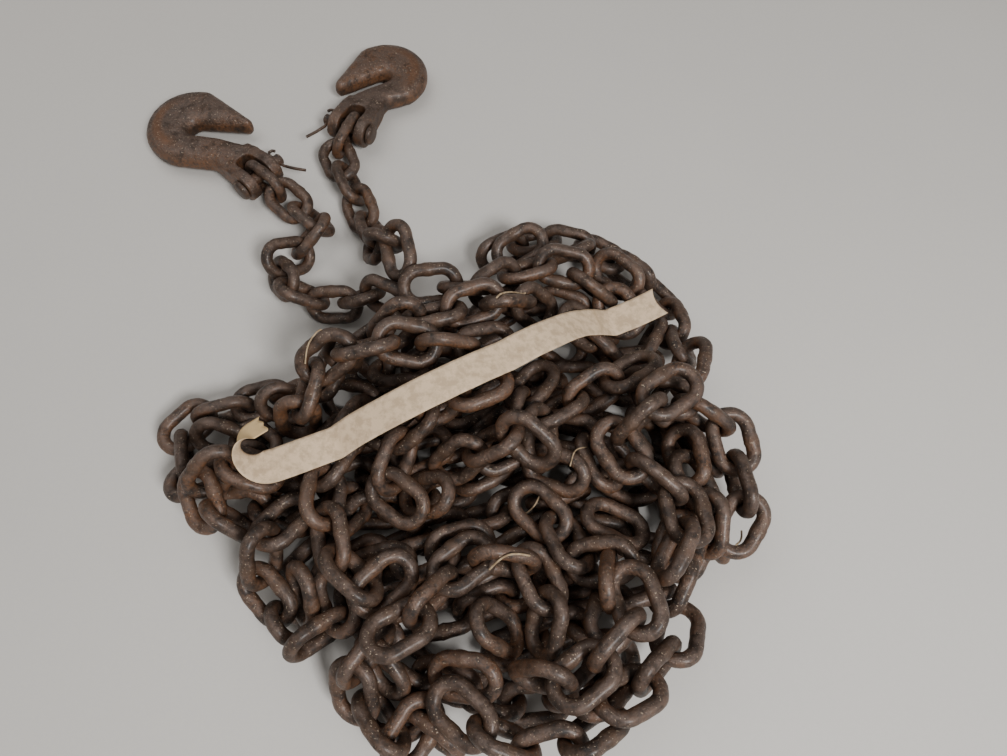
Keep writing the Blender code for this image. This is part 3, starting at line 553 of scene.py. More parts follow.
def box_overrun(points):
    """How far each link's rods would stand out of the sides of the solids' box."""
    low, high = (np.array(corner[:2]) - SHIFT[:2] for corner in CAD_BOX)
    over = np.maximum(points[:, :, :2] - (high - RUSTY_RADIUS), (low + RUSTY_RADIUS) - points[:, :, :2])
    return np.maximum(over, 0).max(axis=(1, 2))


def wedge_links(spot, heading, count, rods, outline):
    """Links that hang in one another and lie as low in the hollows as the rods there leave room for."""
    links = []
    for _ in range(count):
        tries = next_tries(links[-1]) if links else first_tries(spot, heading)
        if len(tries) == 0:
            break
        taken = rods
        if len(links) > 1:
            taken = np.vstack([rods, rod_points(np.array(links[:-1]), outline).reshape(-1, 3)])
        points = rod_points(tries, outline)
        depth = overlap_depth(points[:, ::2], taken)
        too_high = np.maximum(points[:, :, 2].max(axis=1) - WEDGED_CEILING, 0)
        past_box = box_overrun(points)
        cost = depth.max(axis=1) + WEDGED_MEAN_COST * depth.mean(axis=1)
        cost = cost + WEDGED_HEIGHT_COST * tries[:, 0, 2] + WEDGED_CEILING_COST * too_high + past_box
        best = cost.argmin()
        if depth[best].max() > WEDGED_OVERLAP or past_box[best] > 0:
            break
        links.append(tries[best])
    return np.array(links).reshape(-1, 4, 3)


def closed_curve(points, count):
    """Points spaced evenly by parameter along a closed curve through the outline's points."""
    outline = np.array(points, float) * MM
    total = len(outline)
    curve = []
    for step in range(count):
        place = step * total / count
        first = int(place)
        t = place - first
        before, here, there, after = (outline[(first + i) % total] for i in (-1, 0, 1, 2))
        curve.append(0.5 * (2 * here + (there - before) * t
                            + (2 * before - 5 * here + 4 * there - after) * t ** 2
                            + (3 * here - before - 3 * there + after) * t ** 3))
    return np.array(curve)


def core_rings():
    """Rings of points over the core's mound, from its foot to near its top, and the top point."""
    foot = closed_curve(CORE_OUTLINE, CORE_STEPS)
    middle = foot.mean(axis=0)
    rings = []
    for spread, rise in CORE_RINGS:
        ring = middle + (foot - middle) * spread
        rings.append(np.column_stack([ring, np.full(len(ring), CORE_HEIGHT * rise)]))
    return rings, np.array([*middle, CORE_HEIGHT])


def core_points():
    """Points all over the core's surface, about CORE_SPACING apart."""
    rings, top = core_rings()
    rings = rings + [np.repeat(top[None, :], len(rings[0]), axis=0)]
    points = []
    for low, high in zip(rings, rings[1:]):
        rows = max(2, math.ceil(np.linalg.norm(high - low, axis=1).max() / CORE_SPACING))
        for u in np.arange(rows) / rows:
            ring = low + (high - low) * u
            after = np.roll(ring, -1, axis=0)
            columns = max(2, math.ceil(np.linalg.norm(after - ring, axis=1).max() / CORE_SPACING))
            for v in np.arange(columns) / columns:
                points.append(ring + (after - ring) * v)
    return np.vstack(points + [top[None, :]])


def pin_offset(side):
    """How far the end link's crown centre lies from the pin's axis."""
    return LINK_INNER_WIDTH / 2 - HOOKS[side]["pin_diameter"] / 2 - LINK_ON_PIN


def laid_points(links, rod):
    """Points on the rods of a run's links, each with the rod's radius as a fourth number."""
    points = rod_points(links, dense_outline(rod[1])).reshape(-1, 3)
    return np.column_stack([points, np.full(len(points), rod[0] + PILE_GAP)])


def lay_chain():
    """Lays every run from the floor up.

    Gives each run's links by name, the hidden runs' links, and all points laid with their radii.
    """
    left_count, right_count = (FREE_LINKS[side] + END_LINKS_IN_HEAP for side in ("left", "right"))
    order = [(name, (roll,), HEAP_ROD, route, 0.0, None) for name, roll, route in FLOOR_RUNS]
    order += [("left_end", LEFT_END_ROLLS, FREE_ROD, LEFT_END, pin_offset("left"), left_count),
              ("right_end", RIGHT_END_ROLLS, FREE_ROD, RIGHT_END, pin_offset("right"), right_count)]
    order += [(name, (roll,), HEAP_ROD, route, 0.0, None) for name, roll, route in TOP_RUNS]
    core = core_points()
    bare_floor = np.zeros((0, 4))
    hidden = [lay_run(route, (roll,), HIDDEN_ROD, bare_floor) for roll, route in HIDDEN_RUNS]
    laid = np.vstack([np.column_stack([core, np.full(len(core), CORE_GAP)])]
                     + [laid_points(links, HIDDEN_ROD) for links in hidden])
    runs = {}
    for name, rolls, rod, route, offset, count in order:
        runs[name] = lay_run(route, rolls, rod, laid, offset, count)
        laid = np.vstack([laid, laid_points(runs[name], rod)])
    return runs, hidden, laid


def hook_matrix(side):
    """The frame of a hook: its origin on the pin, x towards the bowl and y along the pin."""
    hook = HOOKS[side]
    far = hook["reach"] + hook["bowl"]
    half = hook["thickness"] / 2
    pitch = math.asin(PIN_HEIGHT / math.hypot(far, half)) - math.atan2(half, far)
    x, y = hook["pin"]
    place = Matrix.Translation((x * MM + SHIFT[0], y * MM + SHIFT[1], PIN_HEIGHT))
    return place @ Matrix.Rotation(math.radians(hook["heading"]), 4, "Z") @ Matrix.Rotation(pitch, 4, "Y")


def solids_shift():
    """How far the laid chain moves to lie where the solids lie, from the middle of its first free link."""
    low, high = (np.array(corner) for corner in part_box("left_link_01"))
    return (low + high) / 2 - RUNS["left_end"][0][0]


RUNS, HIDDEN, LAID = lay_chain()
SHIFT = solids_shift()


class Finish:
    """A material whose colour, roughness and bump are worked out from the place on the object."""

    def __init__(self, name):
        self.material = bpy.data.materials.new(name)
        self.material.use_nodes = True
        self.tree = self.material.node_tree
        self.shader = self.tree.nodes["Principled BSDF"]
        self.spot = self.tree.nodes.new("ShaderNodeTexCoord")
        self.bump_normal = None

    def feed(self, socket, value):
        if isinstance(value, bpy.types.NodeSocket):
            self.tree.links.new(value, socket)
        elif isinstance(value, (tuple, list)) and len(value) == 3 and socket.type == "RGBA":
            socket.default_value = (*value, 1.0)
        else:
            socket.default_value = value

    def attribute(self, name):
        node = self.tree.nodes.new("ShaderNodeAttribute")
        node.attribute_name = name
        return node.outputs["Fac"]

    def noise(self, size, detail=4.0, roughness=0.55, stretch=None):
        """Noise with features of about the given size in metres."""
        node = self.tree.nodes.new("ShaderNodeTexNoise")
        node.inputs["Scale"].default_value = 1 / size
        node.inputs["Detail"].default_value = detail
        node.inputs["Roughness"].default_value = roughness
        place = self.spot.outputs["Object"]
        if stretch:
            mapping = self.tree.nodes.new("ShaderNodeMapping")
            mapping.inputs["Scale"].default_value = stretch
            self.tree.links.new(place, mapping.inputs["Vector"])
            place = mapping.outputs["Vector"]
        self.tree.links.new(place, node.inputs["Vector"])
        return node.outputs["Fac"]

    def facing_up(self):
        """1 where the surface faces up at rest, 0 where it faces sideways or down."""
        split = self.tree.nodes.new("ShaderNodeSeparateXYZ")
        self.tree.links.new(self.spot.outputs["Normal"], split.inputs[0])
        return self.span(split.outputs["Z"], 0.1, 0.95)

    def span(self, value, low, high, to_low=0.0, to_high=1.0):
        """The value's part of the way from low to high, smoothed and held between the ends."""
        node = self.tree.nodes.new("ShaderNodeMapRange")
        node.interpolation_type = "SMOOTHSTEP"
        self.feed(node.inputs["Value"], value)
        for name, number in (("From Min", low), ("From Max", high), ("To Min", to_low), ("To Max", to_high)):
            self.feed(node.inputs[name], number)
        return node.outputs["Result"]

    def sum(self, a, b, operation="ADD"):
        node = self.tree.nodes.new("ShaderNodeMath")
        node.operation = operation
        self.feed(node.inputs[0], a)
        self.feed(node.inputs[1], b)
        return node.outputs[0]

    def blend(self, share, a, b, mode="MIX"):
        node = self.tree.nodes.new("ShaderNodeMix")
        node.data_type = "RGBA"
        node.blend_type = mode
        self.feed(node.inputs["Factor"], share)
        self.feed(node.inputs[6], a)
        self.feed(node.inputs[7], b)
        return node.outputs[2]

    def ramp(self, value, stops):
        node = self.tree.nodes.new("ShaderNodeValToRGB")
        elements = node.color_ramp.elements
        while len(elements) < len(stops):
            elements.new(0.5)
        for element, (place, color) in zip(elements, stops):
            element.position = place
            element.color = (*color, 1.0)
        self.feed(node.inputs["Fac"], value)
        return node.outputs["Color"]

    def hollow(self, reach):
        """1 in the open, falling to 0 where other surfaces within reach close in."""
        node = self.tree.nodes.new("ShaderNodeAmbientOcclusion")
        node.samples = 4
        node.inputs["Distance"].default_value = reach
        return node.outputs["AO"]

    def bump(self, height, distance, strength=1.0):
        node = self.tree.nodes.new("ShaderNodeBump")
        node.inputs["Strength"].default_value = strength
        node.inputs["Distance"].default_value = distance
        self.tree.links.new(height, node.inputs["Height"])
        if self.bump_normal is not None:
            self.tree.links.new(self.bump_normal, node.inputs["Normal"])
        self.bump_normal = node.outputs["Normal"]

    def finish(self, color, roughness, metallic):
        self.feed(self.shader.inputs["Base Color"], color)
        self.feed(self.shader.inputs["Roughness"], roughness)
        self.feed(self.shader.inputs["Metallic"], metallic)
        if self.bump_normal is not None:
            self.tree.links.new(self.bump_normal, self.shader.inputs["Normal"])
        return self.material


def rusty_steel(name, look, redness=0.0, dark_at=0.37):
    """Old chain steel: near-black brown, rust in the hollows and in patches, rubbed and oily on top. The deep
    hollows carry painted shade, and the upward faces a painted highlight along with the wear, and pale specks
    that also stand in for painted glints.
    """
    steel = Finish(name)
    broad = steel.noise(0.045, 3.0)
    patch = steel.noise(0.009, 5.0, 0.62)
    grit = steel.noise(0.0020, 6.0, 0.7)
    fine = steel.noise(0.0006, 3.0, 0.6)
    tint = steel.attribute("tint")
    weld = steel.attribute("weld")
    mottle = steel.sum(steel.sum(patch, 0.6, "MULTIPLY"), steel.sum(grit, 0.4, "MULTIPLY"))
    stops = [(dark_at, tuple(look.dark)), (0.50, tuple(look.brown)), (0.63, tuple(look.warm))]
    color = steel.ramp(mottle, stops)
    rust = steel.span(steel.sum(steel.sum(broad, patch), steel.sum(tint, 0.30, "MULTIPLY")),
                      1.10 - redness, 1.38 - redness)
    color = steel.blend(steel.sum(rust, steel.span(grit, 0.35, 0.6), "MULTIPLY"), color, tuple(look.rust))
    open_air = steel.hollow(0.012)
    closed = steel.span(open_air, 0.80, 0.20)
    rusty_hollow = steel.sum(closed, steel.span(patch, 0.45, 0.6), "MULTIPLY")
    color = steel.blend(rusty_hollow, color, tuple(look.hollow_rust))
    # Painted shade: where other surfaces close in most, the colour is blended almost all the way to the dark
    # steel colour.
    painted_hollow_shade = steel.sum(steel.span(open_air, 0.45, 0.05), 0.85, "MULTIPLY")
    color = steel.blend(painted_hollow_shade, color, tuple(look.dark))
    # Wear and painted highlight: rubbed places on the upward faces, out in the open, are blended towards a
    # pale grey-brown, which also stands in for the highlight on the tops of the rods.
    top = steel.facing_up()
    rubbed = steel.span(steel.sum(patch, steel.sum(tint, 0.12, "MULTIPLY")), 0.46, 0.62)
    wear_and_highlight = steel.sum(top, rubbed, "MULTIPLY")
    wear_and_highlight = steel.sum(wear_and_highlight, steel.span(open_air, 0.3, 0.8), "MULTIPLY")
    color = steel.blend(steel.sum(wear_and_highlight, 0.6, "MULTIPLY"), color, tuple(look.wear_and_highlight))
    color = steel.blend(steel.sum(weld, 0.35, "MULTIPLY"), color, tuple(look.warm))
    color = steel.blend(steel.sum(steel.attribute("band"), 0.6, "MULTIPLY"), color, tuple(look.rust))
    # Dusty pale specks on the upward faces, which also stand in for painted glints.
    speck = steel.sum(steel.span(steel.noise(0.0014, 2.0, 0.5), 0.65, 0.71), top, "MULTIPLY")
    color = steel.blend(speck, color, tuple(look.dust_and_glint))
    rough = steel.sum(steel.span(grit, 0.3, 0.7, 0.44, 0.70), steel.sum(wear_and_highlight, 0.16, "MULTIPLY"), "SUBTRACT")
    metal = steel.span(wear_and_highlight, 0.0, 1.0, 0.15, 0.60)
    steel.bump(patch, 0.0010, 0.8)
    steel.bump(grit, 0.0009, 1.0)
    steel.bump(fine, 0.00016, 0.8)
    steel.shader.inputs["Coat Weight"].default_value = 0.22
    steel.shader.inputs["Coat Roughness"].default_value = 0.30
    return steel.finish(color, rough, metal)


def tape_paper(look):
    """Masking tape: matt cream crepe with fine cross wrinkles and tan creases."""
    paper = Finish("crepe_paper")
    crepe = paper.noise(0.0011, 3.0, 0.5)
    cloud = paper.noise(0.0065, 4.0, 0.65)
    tan = paper.attribute("crease")
    color = paper.ramp(cloud, [(0.42, tuple(look.paper)), (0.60, tuple(look.paper_shade))])
    color = paper.blend(paper.sum(tan, 0.45, "MULTIPLY"), color, tuple(look.paper_tan))
    color = paper.blend(paper.sum(paper.attribute("sticky"), 0.8, "MULTIPLY"), color, tuple(look.paper_glue))
    grime = paper.span(paper.noise(0.004, 5.0, 0.7), 0.62, 0.75)
    color = paper.blend(paper.sum(grime, 0.35, "MULTIPLY"), color, tuple(look.paper_tan))
    paper.bump(crepe, 0.00025, 0.6)
    paper.shader.inputs["Specular IOR Level"].default_value = 0.3
    return paper.finish(color, paper.span(crepe, 0.3, 0.7, 0.72, 0.9), 0.0)


def straw_fibre(look):
    """Dry straw: matt, with darker streaks."""
    fibre = Finish("dry_straw")
    streak = fibre.noise(0.004, 4.0, 0.6)
    color = fibre.ramp(streak, [(0.35, tuple(look.straw_dark)), (0.7, tuple(look.straw))])
    fibre.bump(streak, 0.0002, 0.5)
    return fibre.finish(color, 0.8, 0.0)


def floor_paint(look):
    """A plain pale floor with faint clouds."""
    floor = Finish("pale_floor")
    cloud = floor.noise(0.5, 5.0, 0.6)
    grain = floor.noise(0.004, 4.0, 0.6)
    mottle = floor.sum(floor.sum(cloud, 0.7, "MULTIPLY"), floor.sum(grain, 0.3, "MULTIPLY"))
    color = floor.ramp(mottle, [(0.3, tuple(0.93 * c for c in look.floor)), (0.7, tuple(look.floor))])
    return floor.finish(color, 0.85, 0.0)


def new_piece(name, points, faces, material, attributes=None):
    """A mesh object in the row frame, shaded smooth, with numbers for its material at each point."""
    mesh = bpy.data.meshes.new(name)
    mesh.from_pydata([tuple(p) for p in points], [], [tuple(f) for f in faces])
    for label, values in (attributes or {}).items():
        layer = mesh.attributes.new(label, "FLOAT", "POINT")
        layer.data.foreach_set("value", np.asarray(values, dtype=np.float32))
    mesh.materials.append(material)
    mesh.shade_smooth()
    mesh.update()
    piece = bpy.data.objects.new(name, mesh)
    bpy.context.scene.collection.objects.link(piece)
    return piece


def round_outline(leg_steps=7, crown_steps=17):
    """Evenly spaced points round a link's centreline, with the outward direction at each."""
    leg, radius = leg_length() / 2, crown_radius()
    turns = [math.radians(-90 + 180 * i / crown_steps) for i in range(crown_steps + 1)]
    half = [((leg + radius * math.cos(t), radius * math.sin(t)), (math.cos(t), math.sin(t))) for t in turns]
    half += [((leg - 2 * leg * i / leg_steps, radius), (0.0, 1.0)) for i in range(1, leg_steps)]
    spots = half + [((-a[0], -a[1]), (-b[0], -b[1])) for a, b in half]
    return np.array([s[0] for s in spots]), np.array([s[1] for s in spots])


def link_surface(variant, look, radius=RUSTY_RADIUS, sides=16):
    """Points, faces and weld mask of one link about its own middle: round rod, weld band and dents."""
    outline, outward = round_outline()
    turns = 2 * np.pi * np.arange(sides) / sides
    weld_at = np.array([0.0012 * (variant - 1.5), crown_radius()])
    off_weld = np.abs(outline[:, 0] - weld_at[0]) + 10 * (outline[:, 1] < 0)
    band = np.exp(-(off_weld / (look.weld_length / 2)) ** 4)
    points, mask = [], []
    for spot, out, weld in zip(outline, outward, band):
        for turn in turns:
            direction = np.array([out[0] * math.cos(turn), out[1] * math.cos(turn), math.sin(turn)])
            centre = np.array([spot[0], spot[1], 0.0])
            place = Vector((centre + direction * ROD / 2) / look.relief_size) + Vector((7.3 * variant, 0, 0))
            relief = look.relief * (noise.noise(place) + 0.5 * noise.noise(2.3 * place))
            ridge = look.weld_height * weld * (0.75 + 0.5 * noise.noise(3.0 * place))
            points.append(centre + direction * (radius - look.relief + relief + ridge))
            mask.append(weld)
    faces = ring_faces(len(outline), sides, closed=True)
    return np.array(points), faces, np.array(mask)


def ring_faces(rings, sides, closed):
    """Faces between rings of points, and back to the first ring if closed."""
    faces = []
    for i in range(rings if closed else rings - 1):
        after = (i + 1) % rings
        for j in range(sides):
            k = (j + 1) % sides
            faces.append((i * sides + j, after * sides + j, after * sides + k, i * sides + k))
    return np.array(faces)


def chain_piece(name, links, surfaces, material, seed):
    """One object with all the given links as round closed rings."""
    points, faces, tints, welds = [], [], [], []
    count = 0
    for number, (middle, along, across, normal) in enumerate(links):
        shape, ring, weld = surfaces[(number * 7 + seed) % len(surfaces)]
        turned = across if (number + seed) % 3 else -across
        flipped = normal if (number + seed) % 3 else -normal
        placed = middle + SHIFT + shape[:, :1] * along + shape[:, 1:2] * turned + shape[:, 2:] * flipped
        points.append(np.clip(placed, CAD_BOX[0], CAD_BOX[1]))
        faces.append(ring + count)
        count += len(shape)
        tints.append(np.full(len(shape), ((number * 0.618 + seed * 0.381) % 1.0)))
        welds.append(weld)
    return new_piece(name, np.vstack(points), np.vstack(faces), material,
                     {"tint": np.concatenate(tints), "weld": np.concatenate(welds)})


def surface_height(x, y, rods):
    """Height of the highest rod's top over a spot, or the floor."""
    flat = (rods[:, 0] - x) ** 2 + (rods[:, 1] - y) ** 2
    room = rods[:, 3] ** 2 - flat
    over = room > 0
    if not over.any():
        return 0.0
    return float((rods[over, 2] + np.sqrt(room[over])).max())


def visible_rods():
    """All points laid, with the radius of the round links."""
    rods = LAID.copy()
    rods[:, 3] = np.minimum(rods[:, 3], RUSTY_RADIUS)
    return rods


def add_declared(piece, body, slot, *nodes):
    """Says what a piece rides on and which solids it stands for; the slot is not used."""
    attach(piece, body)
    if nodes:
        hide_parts(*nodes)
    return piece


def evaluated_copy(piece):
    """The piece's mesh with its modifiers applied."""
    graph = bpy.context.evaluated_depsgraph_get()
    return bpy.data.meshes.new_from_object(piece.evaluated_get(graph))


def mesh_numbers(mesh):
    """The mesh's points and their normals."""
    points, normals = np.zeros(3 * len(mesh.vertices)), np.zeros(3 * len(mesh.vertices))
    mesh.vertices.foreach_get("co", points)
    mesh.vertices.foreach_get("normal", normals)
    return points.reshape(-1, 3), normals.reshape(-1, 3)


def forged_shape(side, look, points, normals):
    """The hook's points, its flat plate rounded off towards every edge, and where its raised band lies."""
    hook = HOOKS[side]
    place = np.array(hook_matrix(side))
    turn, origin = place[:3, :3], place[:3, 3]
    local = (points - origin) @ turn
    facing = normals @ turn
    half = hook["thickness"] / 2
    on_wall = np.abs(facing[:, 2]) < look.wall_facing
    wall = local[on_wall & (np.abs(local[:, 2]) < WALL_HEIGHT_SHARE * half)]
    tree = kdtree.KDTree(len(wall))
    for number, (x, y, _) in enumerate(wall):
        tree.insert((x, y, 0.0), number)
    tree.balance()
    from_edge = np.array([tree.find((x, y, 0.0))[2] for x, y, _ in local])
    inward = np.clip(from_edge / look.round_width, 0, 1)
    swell = look.edge_height + (1 - look.edge_height) * np.sqrt(1 - (1 - inward) ** 2)
    past_ears = np.clip((local[:, 0] - look.ears_end) / look.ears_end, 0, 1)
    local[:, 2] *= 1 - past_ears * (1 - swell)
    away = np.hypot(local[:, 0] - hook["reach"], local[:, 1]) / hook["bowl"]
    bearing = np.arctan2(local[:, 1], local[:, 0] - hook["reach"]) + BAND_BEARING * hook["mouth_side"]
    band = np.exp(-((away - BAND_MIDDLE) / BAND_HALF_WIDTH) ** 4) * np.exp(-(bearing / BAND_REACH) ** 4)
    band *= facing[:, 2] > TOP_FACING
    local[:, 2] += look.band_height * band
    return local @ turn.T + origin, band


def smooth_forging(side, look, material):
    """The hook's own solid, remeshed fine, rounded like a forging and given its raised band and dents."""
    name = f"hook_{side}"
    mesh = bpy.data.meshes.new_from_object(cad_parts[name])
    mesh.materials.clear()
    mesh.materials.append(material)
    piece = bpy.data.objects.new(f"forged_hook_{side}", mesh)
    bpy.context.scene.collection.objects.link(piece)
    remesh = piece.modifiers.new("fine_skin", "REMESH")
    remesh.mode = "VOXEL"
    remesh.voxel_size = look.skin_size
    skin = evaluated_copy(piece)
    shaped, band = forged_shape(side, look, *mesh_numbers(skin))
    skin.vertices.foreach_set("co", shaped.ravel())
    skin.update()
    piece.modifiers.clear()
    piece.data = skin
    soften = piece.modifiers.new("soft_edges", "SMOOTH")
    soften.factor = 0.5
    soften.iterations = look.soften
    done = evaluated_copy(piece)
    piece.modifiers.clear()
    piece.data = done
    bpy.data.meshes.remove(mesh)
    bpy.data.meshes.remove(skin)
    done.name = piece.name
    points, normals = mesh_numbers(done)
    dents = np.zeros(len(points))
    for number, spot in enumerate(points):
        place = Vector(spot) / look.relief_size
        broad = noise.noise(place) + 0.5 * noise.noise(2.7 * place)
        dents[number] = broad + 0.3 * noise.noise(6.1 * place) - 1.0
    points += normals * (look.relief * dents)[:, None]
    points[:, 2] = np.maximum(points[:, 2], 0.0)
    done.vertices.foreach_set("co", points.ravel())
    done.shade_smooth()
    for label, values in (("tint", np.full(len(points), 0.6)), ("band", band)):
        layer = done.attributes.new(label, "FLOAT", "POINT")
        layer.data.foreach_set("value", values.astype(np.float32))
    done.update()
    return piece


def turned_pin(side, material, sides=32):
    """The clevis pin, turned about its axis, with a domed head and a chamfered tail."""
    hook = HOOKS[side]
    radius = hook["pin_diameter"] / 2
    out = hook["mouth_side"]
    half_width = THROAT_WIDTH / 2 + EAR_THICKNESS
    tail = half_width + PIN_TAIL
    head = half_width + PIN_SLACK
    rim = head + PIN_HEAD_THICKNESS
    chamfer = PIN_CHAMFER
    profile = [(tail, 0.0), (tail, radius - chamfer), (tail - chamfer, radius), (-head, radius),
               (-head, PIN_HEAD_RADIUS - 0.0008), (-head - 0.0006, PIN_HEAD_RADIUS),
               (-head - 0.0022, PIN_HEAD_RADIUS), (-rim + 0.0012, 0.93 * PIN_HEAD_RADIUS),
               (-rim + 0.0004, 0.80 * PIN_HEAD_RADIUS), (-rim, 0.55 * PIN_HEAD_RADIUS), (-rim, 0.0)]
    bm = bmesh.new()
    points = [bm.verts.new((size, out * place, 0.0)) for place, size in profile]
    edges = [bm.edges.new(pair) for pair in zip(points, points[1:])]
    bmesh.ops.spin(bm, geom=points + edges, axis=(0, 1, 0), cent=(0, 0, 0), steps=sides, angle=2 * math.pi)
    bmesh.ops.remove_doubles(bm, verts=bm.verts, dist=0.00001)
    bmesh.ops.recalc_face_normals(bm, faces=bm.faces)
    bmesh.ops.transform(bm, matrix=hook_matrix(side), verts=bm.verts)
    mesh = bpy.data.meshes.new(f"turned_pin_{side}")
    bm.to_mesh(mesh)
    bm.free()
    mesh.materials.append(material)
    mesh.shade_smooth()
    mesh.set_sharp_from_angle(angle=math.radians(38))
    piece = bpy.data.objects.new(mesh.name, mesh)
    bpy.context.scene.collection.objects.link(piece)
    return piece


def cotter_wire(side, material):
    """The bent wire through the pin's tail, a smooth curve through the same points as its solid."""
    hook = HOOKS[side]
    out = hook["mouth_side"]
    bend = hook["pin_diameter"] / 2 + COTTER_WIRE / 2
    place = out * (THROAT_WIDTH / 2 + EAR_THICKNESS + PIN_TAIL / 2)
    eye = bend + COTTER_EYE_RADIUS
    rise = out * COTTER_LEG * math.sin(COTTER_SPREAD)
    points = [(-bend - COTTER_LEG * math.cos(COTTER_SPREAD), place + rise),
              (-bend - 0.5 * COTTER_LEG, place + 0.42 * rise), (-bend - 0.1 * COTTER_LEG, place),
              (0.0, place), (bend, place)]
    for degrees in (30, 80, 130, 180):
        turn = math.radians(degrees)
        points.append((eye + COTTER_EYE_RADIUS * math.sin(turn),
                       place + out * COTTER_EYE_RADIUS * (1 - math.cos(turn))))
    curve = bpy.data.curves.new(f"wire_cotter_{side}", "CURVE")
    curve.dimensions = "3D"
    curve.bevel_depth = COTTER_WIRE / 2
    curve.bevel_resolution = 4
    curve.use_fill_caps = True
    spline = curve.splines.new("POLY")
    spline.points.add(len(points) - 1)
    matrix = hook_matrix(side)
    for spot, (x, y) in zip(spline.points, points):
        spot.co = (*(matrix @ Vector((x, y, 0.0))), 1.0)
    curve.materials.append(material)
    piece = bpy.data.objects.new(curve.name, curve)
    bpy.context.scene.collection.objects.link(piece)
    return piece


def tape_line(step):
    """Middle line of the tape with its curl at the left end, how far it rises and how far it has curled."""
    curve = smooth_route(TAPE_ROUTE, step)
    heading = curve[-1] - curve[-2]
    heading /= np.linalg.norm(heading)
    right = np.array([heading[1], -heading[0]])
    centre = curve[-1] + TAPE_CURL_RADIUS * right
    steps = TAPE_CURL_STEPS
    curl, curled = [], [0.0] * len(curve)
    for i in range(1, steps + 1):
        turn = TAPE_CURL_TURN * i / steps
        curl.append(centre - TAPE_CURL_RADIUS * (math.cos(turn) * right - math.sin(turn) * heading))
        curled.append(i / steps)
    onward = (curl[-1] - curl[-2]) / np.linalg.norm(curl[-1] - curl[-2])
    curl += [curl[-1] + onward * step * i for i in range(1, TAPE_TAIL_STEPS + 1)]
    curled += [1.0] * TAPE_TAIL_STEPS
    return np.vstack([curve, curl]), TAPE_CURL_RISE * np.array(curled) ** 2, np.array(curled)


def tape_heights(line, ahead, beside, rises, rods, step):
    """Height of the tape's underside along its line, bent no more than TAPE_BEND over what it lies on."""
    offsets = rods[:, None, :2] - line[None, :, :]
    nearest = np.linalg.norm(offsets, axis=2).argmin(axis=1)
    offset = offsets[np.arange(len(rods)), nearest]
    past_end = np.abs((offset * ahead[nearest]).sum(axis=1)) > 2 * step
    past_edge = np.maximum(np.abs((offset * beside[nearest]).sum(axis=1)) - TAPE_WIDTH / 2, 0)
    under = (past_edge < rods[:, 3]) & ~past_end
    travelled = np.concatenate([[0], np.cumsum(np.linalg.norm(np.diff(line, axis=0), axis=1))])
    peaks = rods[under, 2] + np.sqrt(rods[under, 3] ** 2 - past_edge[under] ** 2) + TAPE_GAP
    drop = TAPE_BEND * (travelled[:, None] - travelled[nearest[under]][None, :]) ** 2
    return (peaks[None, :] - drop).max(axis=1) + rises, travelled


def tape_course(look, rods):
    """The tape's middle line, its directions, heights and distances from the right end, and its curl."""
    line, rises, curled = tape_line(look.tape_step)
    ahead = np.gradient(line, axis=0)
    ahead /= np.linalg.norm(ahead, axis=1)[:, None]
    beside = np.column_stack([-ahead[:, 1], ahead[:, 0]])
    heights, travelled = tape_heights(line, ahead, beside, rises, rods, look.tape_step)
    return line, ahead, beside, heights, travelled, curled


def tape_barrier(look, rods):
    """Points over the tape that keep links out of it and off it."""
    line, _, beside, heights, _, _ = tape_course(look, rods)
    points = []
    for lift in TAPE_BARRIER_LIFTS:
        for u in (-0.5, -0.25, 0.0, 0.25, 0.5):
            points.append(np.column_stack([line + beside * TAPE_WIDTH * u, heights + lift]))
    return np.vstack(points)


